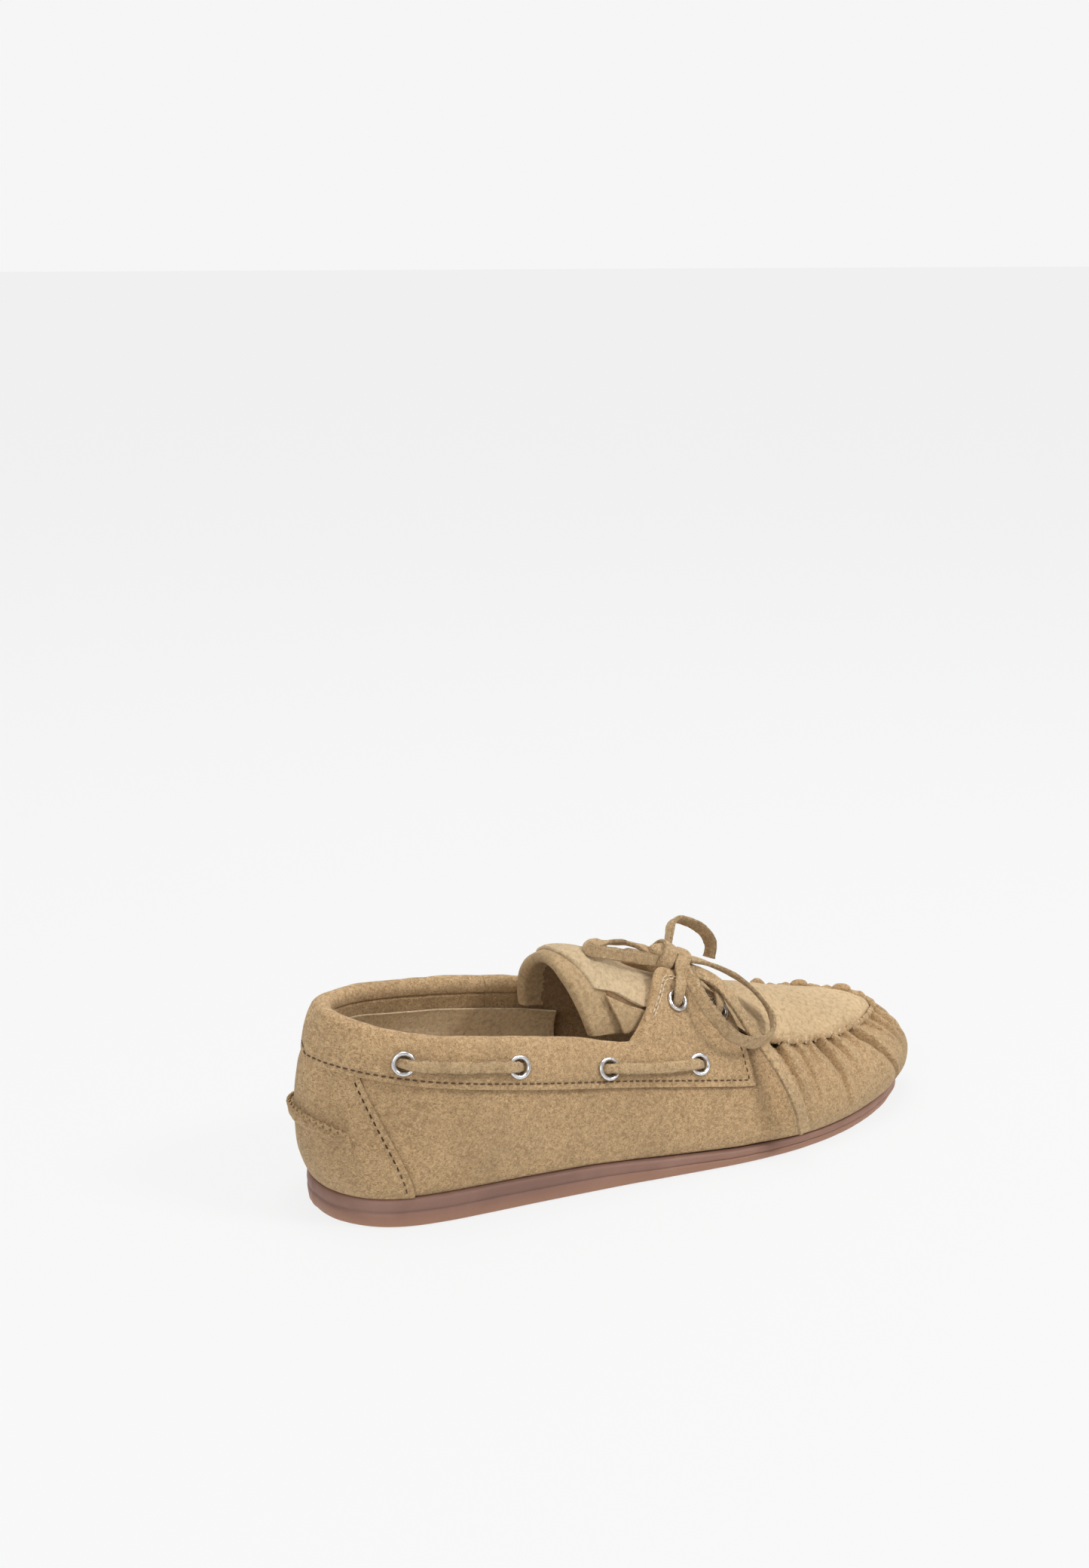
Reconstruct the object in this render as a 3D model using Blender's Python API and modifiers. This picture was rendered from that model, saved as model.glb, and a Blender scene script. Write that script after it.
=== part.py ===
"""A women's right-foot suede moccasin with a rubber cup sole, EU 37, about 250 mm long.

Frame: +X runs to the toe, +Y to the wearer's left (the medial side of a right shoe), +Z up, and the
sole's flat bottom lies on Z = 0. Every dimension below is in millimetres and is scaled to metres when
a mesh is made. "Lateral" is the outer side, at -Y. The upper is described by two edges in plan (where
it meets the sole) and in space (the topline), with a Bezier section between them at each station.
"""

import math

import bmesh
import bpy
import numpy as np
from mathutils import Vector

for old in list(bpy.data.objects):
    bpy.data.objects.remove(old, do_unlink=True)

MM = 0.001
CENTRE = np.array([122.75, -0.25, 0.0])  # middle of the shoe, measured from the sole's heel

# ---------------------------------------------------------------- leading dimensions
SOLE_LATERAL = [(0.0, 0.0), (0.8, -7.0), (3.0, -13.2), (7.0, -19.4), (12.5, -24.6), (18.8, -28.2), (26.0, -30.6), (37.0, -32.3),
                (52.0, -33.3), (68.5, -34.0), (85.0, -34.9), (107.0, -36.3), (124.0, -37.9), (140.0, -39.3), (158.0, -40.2),
                (177.0, -39.2), (195.0, -35.6), (208.0, -31.0), (224.0, -22.9), (234.0, -15.8), (241.0, -9.0), (245.2, -2.5), (246.0, 4.0)]
SOLE_MEDIAL = [(0.0, 0.0), (0.8, 7.0), (3.0, 13.0), (7.0, 18.9), (12.5, 23.6), (18.8, 26.6), (26.0, 28.6), (37.0, 29.8),
               (52.0, 29.9), (68.0, 28.9), (85.0, 27.6), (100.0, 27.3), (115.0, 28.6), (130.0, 31.4), (145.0, 34.6), (160.0, 37.3),
               (175.0, 38.6), (190.0, 37.9), (205.0, 34.6), (218.0, 29.2), (230.0, 22.0), (238.5, 15.6), (244.0, 9.8), (246.0, 4.0)]
TOP_LATERAL = [(2.4, 0.0, 71.0), (4.0, -7.5, 70.6), (9.0, -15.0, 69.4), (18.0, -21.8, 67.2), (29.0, -26.2, 64.9), (42.0, -28.2, 62.4),
               (56.0, -28.8, 60.0), (71.0, -28.8, 57.4), (85.0, -28.7, 54.8), (98.0, -28.5, 52.0), (110.0, -28.2, 49.4), (120.0, -27.8, 48.9),
               (130.0, -26.8, 49.2), (140.0, -25.8, 48.6), (150.0, -25.2, 46.4), (158.0, -24.9, 43.8), (170.0, -24.6, 39.3),
               (181.0, -24.0, 36.3), (193.0, -22.2, 34.9), (205.0, -19.4, 34.0), (217.0, -14.6, 33.5), (227.0, -8.4, 33.4),
               (233.5, -2.0, 33.4), (236.0, 4.0, 33.5)]
TOP_MEDIAL = [(2.4, 0.0, 71.0), (4.0, 7.5, 70.8), (9.0, 15.0, 70.2), (18.0, 21.2, 69.2), (29.0, 25.2, 68.2), (42.0, 27.2, 66.8),
              (56.0, 28.0, 65.2), (71.0, 28.2, 63.3), (85.0, 28.0, 61.2), (98.0, 27.6, 58.6), (110.0, 27.2, 56.0), (120.0, 26.6, 54.4),
              (130.0, 26.0, 53.2), (140.0, 25.6, 51.6), (150.0, 25.4, 49.2), (158.0, 25.4, 46.8), (170.0, 25.4, 43.0),
              (181.0, 25.2, 40.4), (193.0, 24.8, 38.4), (205.0, 23.6, 36.9), (216.0, 21.0, 35.8), (226.0, 16.2, 34.6),
              (233.0, 10.4, 33.8), (236.0, 4.0, 33.5)]
FACING_LATERAL = [(110.6, -27.6, 50.6), (116.5, -25.2, 54.6), (122.5, -21.2, 60.2), (127.0, -16.6, 65.6), (132.0, -11.4, 69.2),
                  (138.0, -10.8, 67.0), (146.0, -12.0, 62.0), (152.0, -13.6, 58.0), (156.5, -15.2, 55.2)]
FACING_MEDIAL = [(110.6, 26.6, 57.2), (116.5, 24.0, 60.0), (122.5, 20.2, 63.2), (127.0, 16.2, 66.6), (132.0, 11.8, 69.2),
                 (138.0, 11.0, 67.0), (146.0, 12.2, 62.4), (152.0, 13.8, 58.6), (156.5, 15.4, 55.8)]
BAND_LOW = ((-5.0, 56.0), (8.0, 54.6), (67.0, 43.6), (110.0, 36.4), (156.0, 28.6))  # height of the band's lower edge along x
SOLE_WALL = ((0, 10.4), (60, 10.4), (92, 9.8), (120, 8.0), (150, 6.2), (185, 5.6), (225, 5.8), (246, 6.2))

SUEDE = 1.1  # leather thickness
GAP = 0.3
BAND_IN = SUEDE  # depth of the band's inner face below the outer surface
LACE_W, LACE_T = 4.6, 0.9
TUNNEL = BAND_IN + GAP + LACE_T + GAP  # the body leather's face behind the lace tunnel
STATIONS = [(0.0, 0.0), (22.5, 3.6), (60.0, 46.0), (110.0, 108.5), (156.5, 156.5), (181.0, 181.0), (208.0, 203.5), (228.0, 219.5)]
STEPS = [3, 3, 5, 5, 2, 3, 3, 3]
SEAM, BASE, FRONT = STEPS[0], sum(STEPS[:3]), sum(STEPS[:4])
LOW, HIGH, OVER = 4, 3, 3
TOP = LOW + HIGH

collection = bpy.data.collections.new("moccasin")
bpy.context.scene.collection.children.link(collection)
cutters = bpy.data.collections.new("cutters")
bpy.context.scene.collection.children.link(cutters)


def material(name, colour, roughness, metallic=0.0):
    made = bpy.data.materials.new(name)
    made.use_nodes = True
    shader = made.node_tree.nodes["Principled BSDF"]
    shader.inputs["Base Color"].default_value = (*colour, 1.0)
    shader.inputs["Roughness"].default_value = roughness
    shader.inputs["Metallic"].default_value = metallic
    made.diffuse_color = (*colour, 1.0)
    return made


SUEDE_TAN = material("suede_tan", (0.52, 0.36, 0.19), 0.95)
SUEDE_LINING = material("suede_lining", (0.46, 0.31, 0.16), 0.95)
RUBBER = material("gum_rubber", (0.23, 0.12, 0.085), 0.6)
BOARD = material("insole_board", (0.40, 0.33, 0.24), 0.9)
FOAM = material("foam", (0.75, 0.70, 0.58), 0.95)
STEEL = material("nickel_plate", (0.75, 0.75, 0.76), 0.25, 1.0)
LACE = material("lace_leather", (0.47, 0.31, 0.16), 0.9)
THREAD = material("thread", (0.30, 0.20, 0.11), 0.8)


def finish(mesh, name, mat):
    obj = bpy.data.objects.new(name, mesh)
    collection.objects.link(obj)
    mesh.materials.append(mat)
    mesh.shade_smooth()
    mesh.set_sharp_from_angle(angle=math.radians(50))
    return obj


def make(name, points, faces, mat):
    """A mesh of points (mm) and faces, with its normals turned outwards."""
    mesh = bpy.data.meshes.new(name)
    p = (np.asarray(points, float) - CENTRE) * MM
    mesh.from_pydata(p.tolist(), [], faces)
    bm = bmesh.new()
    bm.from_mesh(mesh)
    bmesh.ops.remove_doubles(bm, verts=bm.verts, dist=1e-7)
    bmesh.ops.recalc_face_normals(bm, faces=bm.faces)
    if bm.calc_volume(signed=True) < 0:
        bmesh.ops.reverse_faces(bm, faces=bm.faces)
    bm.to_mesh(mesh)
    bm.free()
    return finish(mesh, name, mat)


def shell(name, outer, inner, mat, ring=False):
    """A closed shell between two grids of points, (columns, rows, 3). ring joins the last column to the first."""
    outer, inner = np.asarray(outer, float), np.asarray(inner, float)
    m, n = outer.shape[:2]
    count = m * n
    points = np.vstack([outer.reshape(-1, 3), inner.reshape(-1, 3)])
    faces = []
    last = m if ring else m - 1
    for i in range(last):
        a, b = i * n, (i + 1) % m * n
        for j in range(n - 1):
            faces.append((a + j, b + j, b + j + 1, a + j + 1))
            faces.append((count + a + j, count + a + j + 1, count + b + j + 1, count + b + j))
        faces.append((a, count + a, count + b, b))
        faces.append((a + n - 1, b + n - 1, count + b + n - 1, count + a + n - 1))
    if not ring:
        for a in (0, (m - 1) * n):
            for j in range(n - 1):
                faces.append((a + j, a + j + 1, count + a + j + 1, count + a + j))
    return make(name, points, faces, mat)


def loft(name, loops, mat):
    """A solid through loops of equal length, capped at both ends."""
    loops = np.asarray(loops, float)
    m, n = loops.shape[:2]
    faces = [tuple(i * n + k for i, k in ((i, j), (i, (j + 1) % n), (i + 1, (j + 1) % n), (i + 1, j))) for i in range(m - 1) for j in range(n)]
    faces += [tuple(range(n)), tuple((m - 1) * n + j for j in range(n))[::-1]]
    return make(name, loops.reshape(-1, 3), faces, mat)


def smooth_path(points, n=None, step=None, at=None):
    """A centripetal Catmull-Rom curve through the points, in n equal steps, in steps of a length, or at shares of its length."""
    p = np.array(points, float)
    p = np.vstack([2 * p[0] - p[1], p, 2 * p[-1] - p[-2]])
    out = []
    for i in range(1, len(p) - 2):
        a, b, c, d = p[i - 1 : i + 3]
        t0, t1 = 0.0, max(np.linalg.norm(b - a), 1e-6) ** 0.5
        t2 = t1 + max(np.linalg.norm(c - b), 1e-6) ** 0.5
        t3 = t2 + max(np.linalg.norm(d - c), 1e-6) ** 0.5
        t = np.linspace(t1, t2, 17)[:-1, None]
        a1 = (t1 - t) / (t1 - t0) * a + (t - t0) / (t1 - t0) * b
        a2 = (t2 - t) / (t2 - t1) * b + (t - t1) / (t2 - t1) * c
        a3 = (t3 - t) / (t3 - t2) * c + (t - t2) / (t3 - t2) * d
        b1 = (t2 - t) / (t2 - t0) * a1 + (t - t0) / (t2 - t0) * a2
        b2 = (t3 - t) / (t3 - t1) * a2 + (t - t1) / (t3 - t1) * a3
        out.append((t2 - t) / (t2 - t1) * b1 + (t - t1) / (t2 - t1) * b2)
    out.append(p[-2][None])
    dense = np.vstack(out)
    s = np.r_[0, np.cumsum(np.linalg.norm(np.diff(dense, axis=0), axis=1))]
    if at is None:
        if step is not None:
            n = max(1, int(round(s[-1] / step)))
        at = np.linspace(0, 1, n + 1)
    q = np.asarray(at) * s[-1]
    return np.stack([np.interp(q, s, dense[:, k]) for k in range(dense.shape[1])], -1)


def table(x, rows):
    return np.interp(x, [r[0] for r in rows], [r[1] for r in rows])


def unit(v):
    return v / np.maximum(np.linalg.norm(v, axis=-1, keepdims=True), 1e-9)


# ---------------------------------------------------------------- the upper's outer surface
def station_shares(points, xs):
    """The share of an edge's length at which it reaches each x."""
    d = smooth_path(points, 2000)
    return [0.0] + [float(np.argmax(d[:, 0] >= x)) / 2000 for x in xs[1:]] + [1.0]


def spaced(shares):
    out = [0.0]
    for i, n in enumerate(STEPS):
        out += list(shares[i] + (shares[i + 1] - shares[i]) * np.arange(1, n + 1) / n)
    out = np.array(out)
    for _ in range(2):
        out[1:-1] = out[1:-1] * 0.5 + (out[:-2] + out[2:]) * 0.25
    return out


def side_sections(sole, top, sign):
    """Four Bezier points at each station of one side: at the sole, at the belly, below the top, and the top."""
    b = smooth_path(sole, at=spaced(station_shares(sole, [s[0] for s in STATIONS])))
    t = smooth_path(top, at=spaced(station_shares(top, [s[1] for s in STATIONS])))
    g = np.gradient(b, axis=0)
    g[0], g[-1] = (0, sign), (0, -sign)
    g = unit(g)
    n = np.stack([-sign * g[:, 1], sign * g[:, 0]], -1)
    n[0], n[-1] = (-1, 0), (1, 0)
    z = table(b[:, 0], SOLE_WALL) + GAP
    x = [0, 12, 40, 110, 150, 181, 215, 246]
    out1 = np.interp(b[:, 0], x, [8.0, 5.4, 3.6, 3.8, 4.4, 5.0, 7.4, 10.0])
    up1 = np.interp(b[:, 0], x, [13, 13, 12, 11, 9, 8.5, 7.5, 7.5])
    out2 = np.interp(b[:, 0], x, [8.4, 7.4, 7.4, 9.0, 11.5, 12.5, 14.0, 15.0])
    down2 = np.interp(b[:, 0], x, [22, 21, 18, 16, 11.5, 8.0, 5.4, 4.6])
    inset = 0.6
    return np.stack([np.c_[b - n * inset, z], np.c_[b + n * (out1[:, None] - inset), z + up1],
                     np.c_[t[:, :2] + n * out2[:, None], t[:, 2] - down2], t], 1)


def bezier(p, v):
    v = np.asarray(v)[:, None]
    return (1 - v) ** 3 * p[0] + 3 * (1 - v) ** 2 * v * p[1] + 3 * (1 - v) * v * v * p[2] + v ** 3 * p[3]


def side_grid(sole, top, facing, sign, lift=0.0):
    """Rows of points up each station: LOW to the band's lower edge, HIGH to the topline, OVER across the instep."""
    sections = side_sections(sole, top, sign)
    v = np.linspace(0, 1, 401)
    shares = []
    for p in sections:
        q = bezier(p, v)
        reached = np.nonzero(q[:, 2] >= table(q[:, 0], BAND_LOW) + lift)[0]
        shares.append(v[reached[0]] if len(reached) else 1.0)
    grid = []
    edge = smooth_path(facing, FRONT - BASE)
    for i, p in enumerate(sections):
        w = min(1.0, max(0.0, (i - FRONT) / 4.0))
        share = shares[min(i, FRONT)] * (1 - w) + 0.62 * w
        rows = bezier(p, np.r_[np.linspace(0, share, LOW + 1), np.linspace(share, 1, HIGH + 1)[1:]])
        t, tangent = rows[-1], unit(rows[-1] - rows[-2])
        f = edge[i - BASE] if BASE <= i <= FRONT else t
        w = (np.arange(1, OVER + 1) / OVER)[:, None]
        c = t + tangent * np.linalg.norm(f - t) * 0.45
        grid.append(np.vstack([rows, (1 - w) ** 2 * t + 2 * (1 - w) * w * c + w * w * f]))
    return np.array(grid)


lateral = side_grid(SOLE_LATERAL, TOP_LATERAL, FACING_LATERAL, -1)
medial = side_grid(SOLE_MEDIAL, TOP_MEDIAL, FACING_MEDIAL, 1, lift=2.0)
# the ring runs from the toe along the lateral side, round the heel, and back along the medial side
ring = np.concatenate([lateral[::-1], medial[1:-1]])
COLS, HEEL = len(ring), len(lateral) - 1


def normals_of(grid, closed):
    if closed:
        along = np.roll(grid, -1, 0) - np.roll(grid, 1, 0)
    else:
        along = np.gradient(grid, axis=0)
    n = unit(np.cross(np.gradient(grid, axis=1), along))
    return n


ring_n = normals_of(ring[:, : TOP + 1], True)
centre = np.array([CENTRE[0], 0, 30.0])
if np.sum(ring_n[:, 2] * (ring[:, 2] - centre)) < 0:
    ring_n = -ring_n


def column(side, i):
    """The ring's index of station i on a side."""
    return HEEL - i if side == "lateral" else (HEEL + i) % COLS


def at(c, r, depth=0.0):
    """A point at fractional column c and row r of the ring, at a depth below its surface."""
    i, j = int(math.floor(c)), min(int(r), TOP - 1)
    u, v = c - i, r - j
    i, k = i % COLS, (i + 1) % COLS
    mix = lambda g: (g[i, j] * (1 - u) + g[k, j] * u) * (1 - v) + (g[i, j + 1] * (1 - u) + g[k, j + 1] * u) * v
    return mix(ring) - unit(mix(ring_n)) * depth


def normal_at(c, r):
    return unit(at(c, r, -1.0) - at(c, r))


def sheet(name, cols, rows, depth, thick, mat, closed=False):
    """A leather sheet that follows the upper. rows and depth are functions of the station, its distance from the heel."""
    outer, inner = [], []
    for c in cols:
        s = abs(c - HEEL) if c <= COLS else abs(c - COLS - HEEL)
        s = min(s, COLS - s)
        rr, dd = rows(s), depth(s)
        outer.append([at(c, r, d) for r, d in zip(rr, dd)])
        inner.append([at(c, r, d + thick) for r, d in zip(rr, dd)])
    return shell(name, outer, inner, mat, closed)


def locate(side, x, z):
    """The ring position on one side nearest to (x, z)."""
    best = None
    for c in np.arange(0, HEEL, 0.05):
        k = c if side == "lateral" else COLS - c
        for r in np.arange(LOW, TOP, 0.1):
            p = at(k, r)
            d = (p[0] - x) ** 2 + (p[2] - z) ** 2
            if best is None or d < best[0]:
                best = (d, k, r)
    return best[1], best[2]


# ---------------------------------------------------------------- sole unit
def outline(inset, n=56):
    """The sole's plan at an inset, as a closed loop."""
    lat = smooth_path(SOLE_LATERAL, n // 2)
    med = smooth_path(SOLE_MEDIAL, n // 2)[::-1]
    loop = np.vstack([lat[:-1], med[:-1]])
    g = unit(np.roll(loop, -1, 0) - np.roll(loop, 1, 0))
    return loop - np.stack([g[:, 1], -g[:, 0]], -1) * inset


def sole_piece(name, loops, mat):
    """A solid through closed loops of the sole's plan, its ends closed by rungs from the lateral to the medial edge."""
    loops = np.asarray(loops, float)
    m, n = loops.shape[:2]
    faces = [(i * n + j, i * n + (j + 1) % n, (i + 1) * n + (j + 1) % n, (i + 1) * n + j) for i in range(m - 1) for j in range(n)]
    half = n // 2
    for base, turn in ((0, 1), ((m - 1) * n, -1)):
        faces.append(tuple(base + k for k in (0, 1, n - 1))[::-turn])
        faces += [tuple(base + k for k in (j, j + 1, n - j - 1, n - j))[::-turn] for j in range(1, half - 1)]
        faces.append(tuple(base + k for k in (half - 1, half, half + 1))[::-turn])
    return make(name, loops.reshape(-1, 3), faces, mat)


def flat_loop(inset, z):
    p = outline(inset)
    return np.c_[p, np.broadcast_to(z, (len(p),))]


wall = table(outline(0)[:, 0], SOLE_WALL)
floor = wall - 3.4
sole_piece("outsole", [flat_loop(1.6, 0.0), flat_loop(0.4, 0.9), flat_loop(0.0, wall * 0.5), flat_loop(0.9, wall), flat_loop(2.6, wall),
                 flat_loop(2.9, floor)], RUBBER)
sole_piece("insole_board", [flat_loop(5.4, floor + GAP), flat_loop(5.4, floor + 2.1)], BOARD)
sole_piece("sock_liner", [flat_loop(6.4, floor + 2.4), flat_loop(6.6, floor + 4.6)], SUEDE_LINING)

# ---------------------------------------------------------------- upper
BEHIND = TUNNEL + 0.1  # depth of the body leather behind the lace tunnel
ease = lambda s: min(1.0, max(0.0, (s - FRONT) / 2.0))


def body_rows(s):
    top = 6.25 if s <= FRONT else 6.25 + 0.75 * ease(s)
    return [0, 1, 2, 3, 3.8, 4.6, 5.4, top]


def body_depth(s, behind=BEHIND, below=1.2):
    e = ease(s)
    return [d * (1 - e) + 0.2 * e for d in (below, below, below, below, below + 0.5, behind, behind, behind)]


lat_seam, med_seam = HEEL - SEAM, HEEL + SEAM
sheet("vamp", list(range(med_seam, COLS + lat_seam + 1)), body_rows, body_depth, SUEDE, SUEDE_TAN)
SPLIT = 0.12  # half the gap at the counter seams, in columns
heel_cols = [lat_seam + SPLIT] + list(range(lat_seam + 1, med_seam)) + [med_seam - SPLIT]
sheet("heel_counter_cover", heel_cols, body_rows, body_depth, SUEDE, SUEDE_TAN)
sheet("heel_stiffener", heel_cols, lambda s: [0.3, 1, 2, 3, 3.6], lambda s: [2.6] * 4 + [3.0], 1.0, BOARD)
lining_cols = list(range(HEEL - BASE, HEEL + BASE + 1))
sheet("quarter_lining", lining_cols, lambda s: [0.6, 1, 2, 3, 3.8, 4.6, 5.0], lambda s: [4.2] * 4 + [4.9, 5.2, 5.2], 0.8, SUEDE_LINING)

THICK = 7.4  # the collar's whole thickness at the topline
FOLD = 5.3  # row at which the band's inner leg ends
JOIN = [c for c in range(COLS) if c > HEEL][7]  # the band's join, on the medial side


def facing_rows(side, s):
    """Points of one station of a facing, from the topline to its inner edge, with normals."""
    grid = lateral if side == "lateral" else medial
    lo, hi = grid[max(s - 1, BASE)], grid[min(s + 1, FRONT)]
    p = grid[s][TOP:]
    n = unit(np.cross(np.gradient(p, axis=0), (hi - lo)[TOP:]))
    n = n if side == "medial" else -n
    if s == BASE or np.linalg.norm(p[-1] - p[0]) < 1.0:
        n[:] = normal_at(column(side, s), TOP)
    n[0] = normal_at(column(side, s), TOP)
    return p, n


def column_side(c):
    return ("lateral", HEEL - c) if c <= HEEL else ("medial", c - HEEL)


def band_column(c):
    """Outer and inner points of the collar band at one column: up the outside, then over the roll or up the facing."""
    side, s = column_side(c)
    rows = np.linspace(LOW, TOP, HIGH + 1)
    outer = [at(c, r, 0.0) for r in rows]
    inner = [at(c, r, SUEDE) for r in rows]
    if s >= BASE + 0.5:
        p, n = facing_rows(side, int(s))
        w = np.linspace(0, 1, 6)[1:]
        share = np.linspace(0, 1, len(p))
        for k in w:
            q = np.array([np.interp(k, share, p[:, a]) for a in range(3)])
            m = unit(np.array([np.interp(k, share, n[:, a]) for a in range(3)]))
            outer.append(q)
            inner.append(q - m * SUEDE)
        return outer, inner
    t, n = at(c, TOP), normal_at(c, TOP)
    up = at(c, TOP) - at(c, TOP - 0.5)
    up = unit(up - n * np.dot(up, n))
    r = THICK / 2
    middle = t - n * r
    for a in (60, 120, 180):
        d = n * math.cos(math.radians(a)) + up * math.sin(math.radians(a))
        outer.append(middle + d * r)
        inner.append(middle + d * (r - SUEDE))
    for row in (6.2, FOLD):
        outer.append(at(c, row, THICK))
        inner.append(at(c, row, THICK - SUEDE))
    return outer, inner


def band(name, cols):
    pairs = [band_column(c) for c in cols]
    return shell(name, [p[0] for p in pairs], [p[1] for p in pairs], SUEDE_TAN)


lateral_band = band("collar_band_lateral", list(range(HEEL - FRONT, JOIN + 1)) + [JOIN + 0.42])
medial_band = band("collar_band_medial", [JOIN + 0.54] + list(range(JOIN + 1, HEEL + FRONT + 1)))
sheet("collar_foam", list(range(HEEL - BASE + 1, HEEL + BASE)), lambda s: [5.3, 6.0, 6.7], lambda s: [4.4] * 3, 1.5, FOAM)


def facing_backer(side):
    outer, inner = [], []
    for s in range(BASE + 1, FRONT + 1):
        p, n = facing_rows(side, s)
        share = np.linspace(0, 1, len(p))
        o, i = [], []
        for k in np.linspace(0.02, 0.95, 5):
            q = np.array([np.interp(k, share, p[:, a]) for a in range(3)])
            m = unit(np.array([np.interp(k, share, n[:, a]) for a in range(3)]))
            o.append(q - m * (SUEDE + GAP))
            i.append(q - m * (SUEDE + GAP + 0.8))
        outer.append(o)
        inner.append(i)
    return shell("facing_lining_" + side, outer, inner, SUEDE_LINING)


backers = {side: facing_backer(side) for side in ("lateral", "medial")}

# ---------------------------------------------------------------- apron and its seam
CROWN = ((145, 57.2), (156, 55.8), (165, 53.6), (180, 50.2), (195, 46.4), (210, 42.8), (222, 39.6), (230, 37.0), (236, 34.5))


def apron_grid(depth):
    rows = []
    for s in range(FRONT - 1, len(lateral) - 1):
        a = at(HEEL - s, TOP) if s > FRONT else None
        b = at(HEEL + s, TOP) if s > FRONT else None
        if s <= FRONT:
            x = 157.0 if s == FRONT else 147.0
            half, z = (18.4, 47.4) if s == FRONT else (15.6, 48.6)
            a, b = np.array([x, -half, z]), np.array([x, half, z + 0.8])
        across = unit(b - a)
        a, b = a + across * 0.9, b - across * 0.9
        top = table((a[0] + b[0]) / 2, CROWN)
        line = []
        for v in np.linspace(-1, 1, 9):
            base = a * (1 - v) / 2 + b * (1 + v) / 2
            rise = top - (a[2] + b[2]) / 2
            base = base + np.array([0, 0, rise * (1 - abs(v) ** 2.2)])
            line.append(base)
        rows.append(line)
    g = np.array(rows)
    n = unit(np.cross(np.gradient(g, axis=1), np.gradient(g, axis=0)))
    n = np.where(n[..., 2:] < 0, -n, n)
    return g - n * depth


shell("apron", apron_grid(0.0), apron_grid(SUEDE), SUEDE_TAN)


def tube(name, points, radius, mat, step=None, resolution=2):
    data = bpy.data.curves.new(name, "CURVE")
    data.dimensions = "3D"
    data.bevel_depth = radius * MM
    data.bevel_resolution = resolution
    data.use_fill_caps = True
    spline = data.splines.new("POLY")
    pts = smooth_path(points, step=step) if step else np.asarray(points, float)
    spline.points.add(len(pts) - 1)
    for k, p in enumerate(pts):
        spline.points[k].co = (*((p - CENTRE) * MM), 1.0)
    obj = bpy.data.objects.new(name, data)
    collection.objects.link(obj)
    data.materials.append(mat)
    return obj


seam_cols = [c % COLS for c in range(HEEL + FRONT + 1, COLS + HEEL - FRONT)]
tube("apron_seam_cord", [at(c, TOP, -1.5) for c in seam_cols], 0.9, LACE, resolution=1)

# ---------------------------------------------------------------- tongue
TONGUE_TOP = ((88, 78.5), (93, 79.6), (100, 79.4), (108, 76.2), (118, 70.4), (128, 65.0), (136, 61.4), (145.5, 58.0))
TONGUE_HALF = ((88, 20.0), (100, 20.5), (112, 19.5), (128, 17.0), (136, 15.6), (145.5, 14.6))
TONGUE_DROP = ((88, 25.0), (100, 27.5), (112, 23.0), (128, 14.5), (136, 11.0), (145.5, 7.6))
HINGE = (146.0, 0.0, 56.0)


def tongue_grid(depth, x0=None, x1=145.2, inset=0.0, columns=9, rows=9):
    grid = []
    for u in np.linspace(0, 1, columns):
        line = []
        for v in np.linspace(-1 + inset, 1 - inset, rows):
            rear = 91.0 + 5.0 * abs(v) ** 2 - 4.5 * v if x0 is None else x0 + 6.0 * abs(v) ** 2 - 3.0 * v
            x = rear + (x1 - rear) * u
            a = v * math.radians(84)
            half, drop, top = table(x, TONGUE_HALF), table(x, TONGUE_DROP), table(x, TONGUE_TOP)
            line.append((x, half * math.sin(a), top - drop * (1 - math.cos(a)) / 0.9))
        grid.append(line)
    g = np.array(grid)
    n = unit(np.cross(np.gradient(g, axis=1), np.gradient(g, axis=0)))
    if n[:, rows // 2, 2].sum() < 0:
        n = -n
    return g - n * depth


tongue = bpy.data.objects.new("tongue_hinge", None)
tongue.location = Vector((np.array(HINGE) - CENTRE) * MM)
collection.objects.link(tongue)
tongue_parts = [
    shell("tongue", tongue_grid(0.0), tongue_grid(SUEDE), SUEDE_TAN),
    shell("tongue_foam", tongue_grid(SUEDE + 0.5, inset=0.08, x1=140), tongue_grid(SUEDE + 2.3, inset=0.08, x1=140), FOAM),
    shell("tongue_lining", tongue_grid(SUEDE + 2.8), tongue_grid(SUEDE + 3.6), SUEDE_LINING),
    shell("tongue_overlay", tongue_grid(-1.4, x0=96.0, inset=0.14), tongue_grid(-0.5, x0=96.0, inset=0.14), SUEDE_TAN),
]
for piece in tongue_parts:
    piece.parent = tongue
    piece.matrix_parent_inverse = tongue.matrix_world.inverted()
    piece.matrix_parent_inverse.translation = -tongue.location

# ---------------------------------------------------------------- heel tab
tab_z = lambda s: 38.5 - 3.5 * (s / 2.0) ** 2


def row_at_height(c, z):
    rs = np.linspace(0, TOP, 281)
    zs = np.array([at(c, r)[2] for r in rs])
    return float(rs[int(np.argmin(abs(zs - z)))])


tab_cols = np.linspace(HEEL - 1.9, HEEL + 1.9, 9)
tab_out, tab_in = [], []
for c in tab_cols:
    s = abs(c - HEEL)
    rr = [row_at_height(c, tab_z(s) - 5.5), row_at_height(c, tab_z(s) - 2.5), row_at_height(c, tab_z(s))]
    tab_out.append([at(c, r, d) for r, d in zip(rr, (-0.1, -0.5, -0.3))])
    tab_in.append([at(c, r, 0.8) for r in rr])
shell("heel_tab", tab_out, tab_in, SUEDE_TAN)

# ---------------------------------------------------------------- eyelets
HOLE = 3.3


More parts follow.
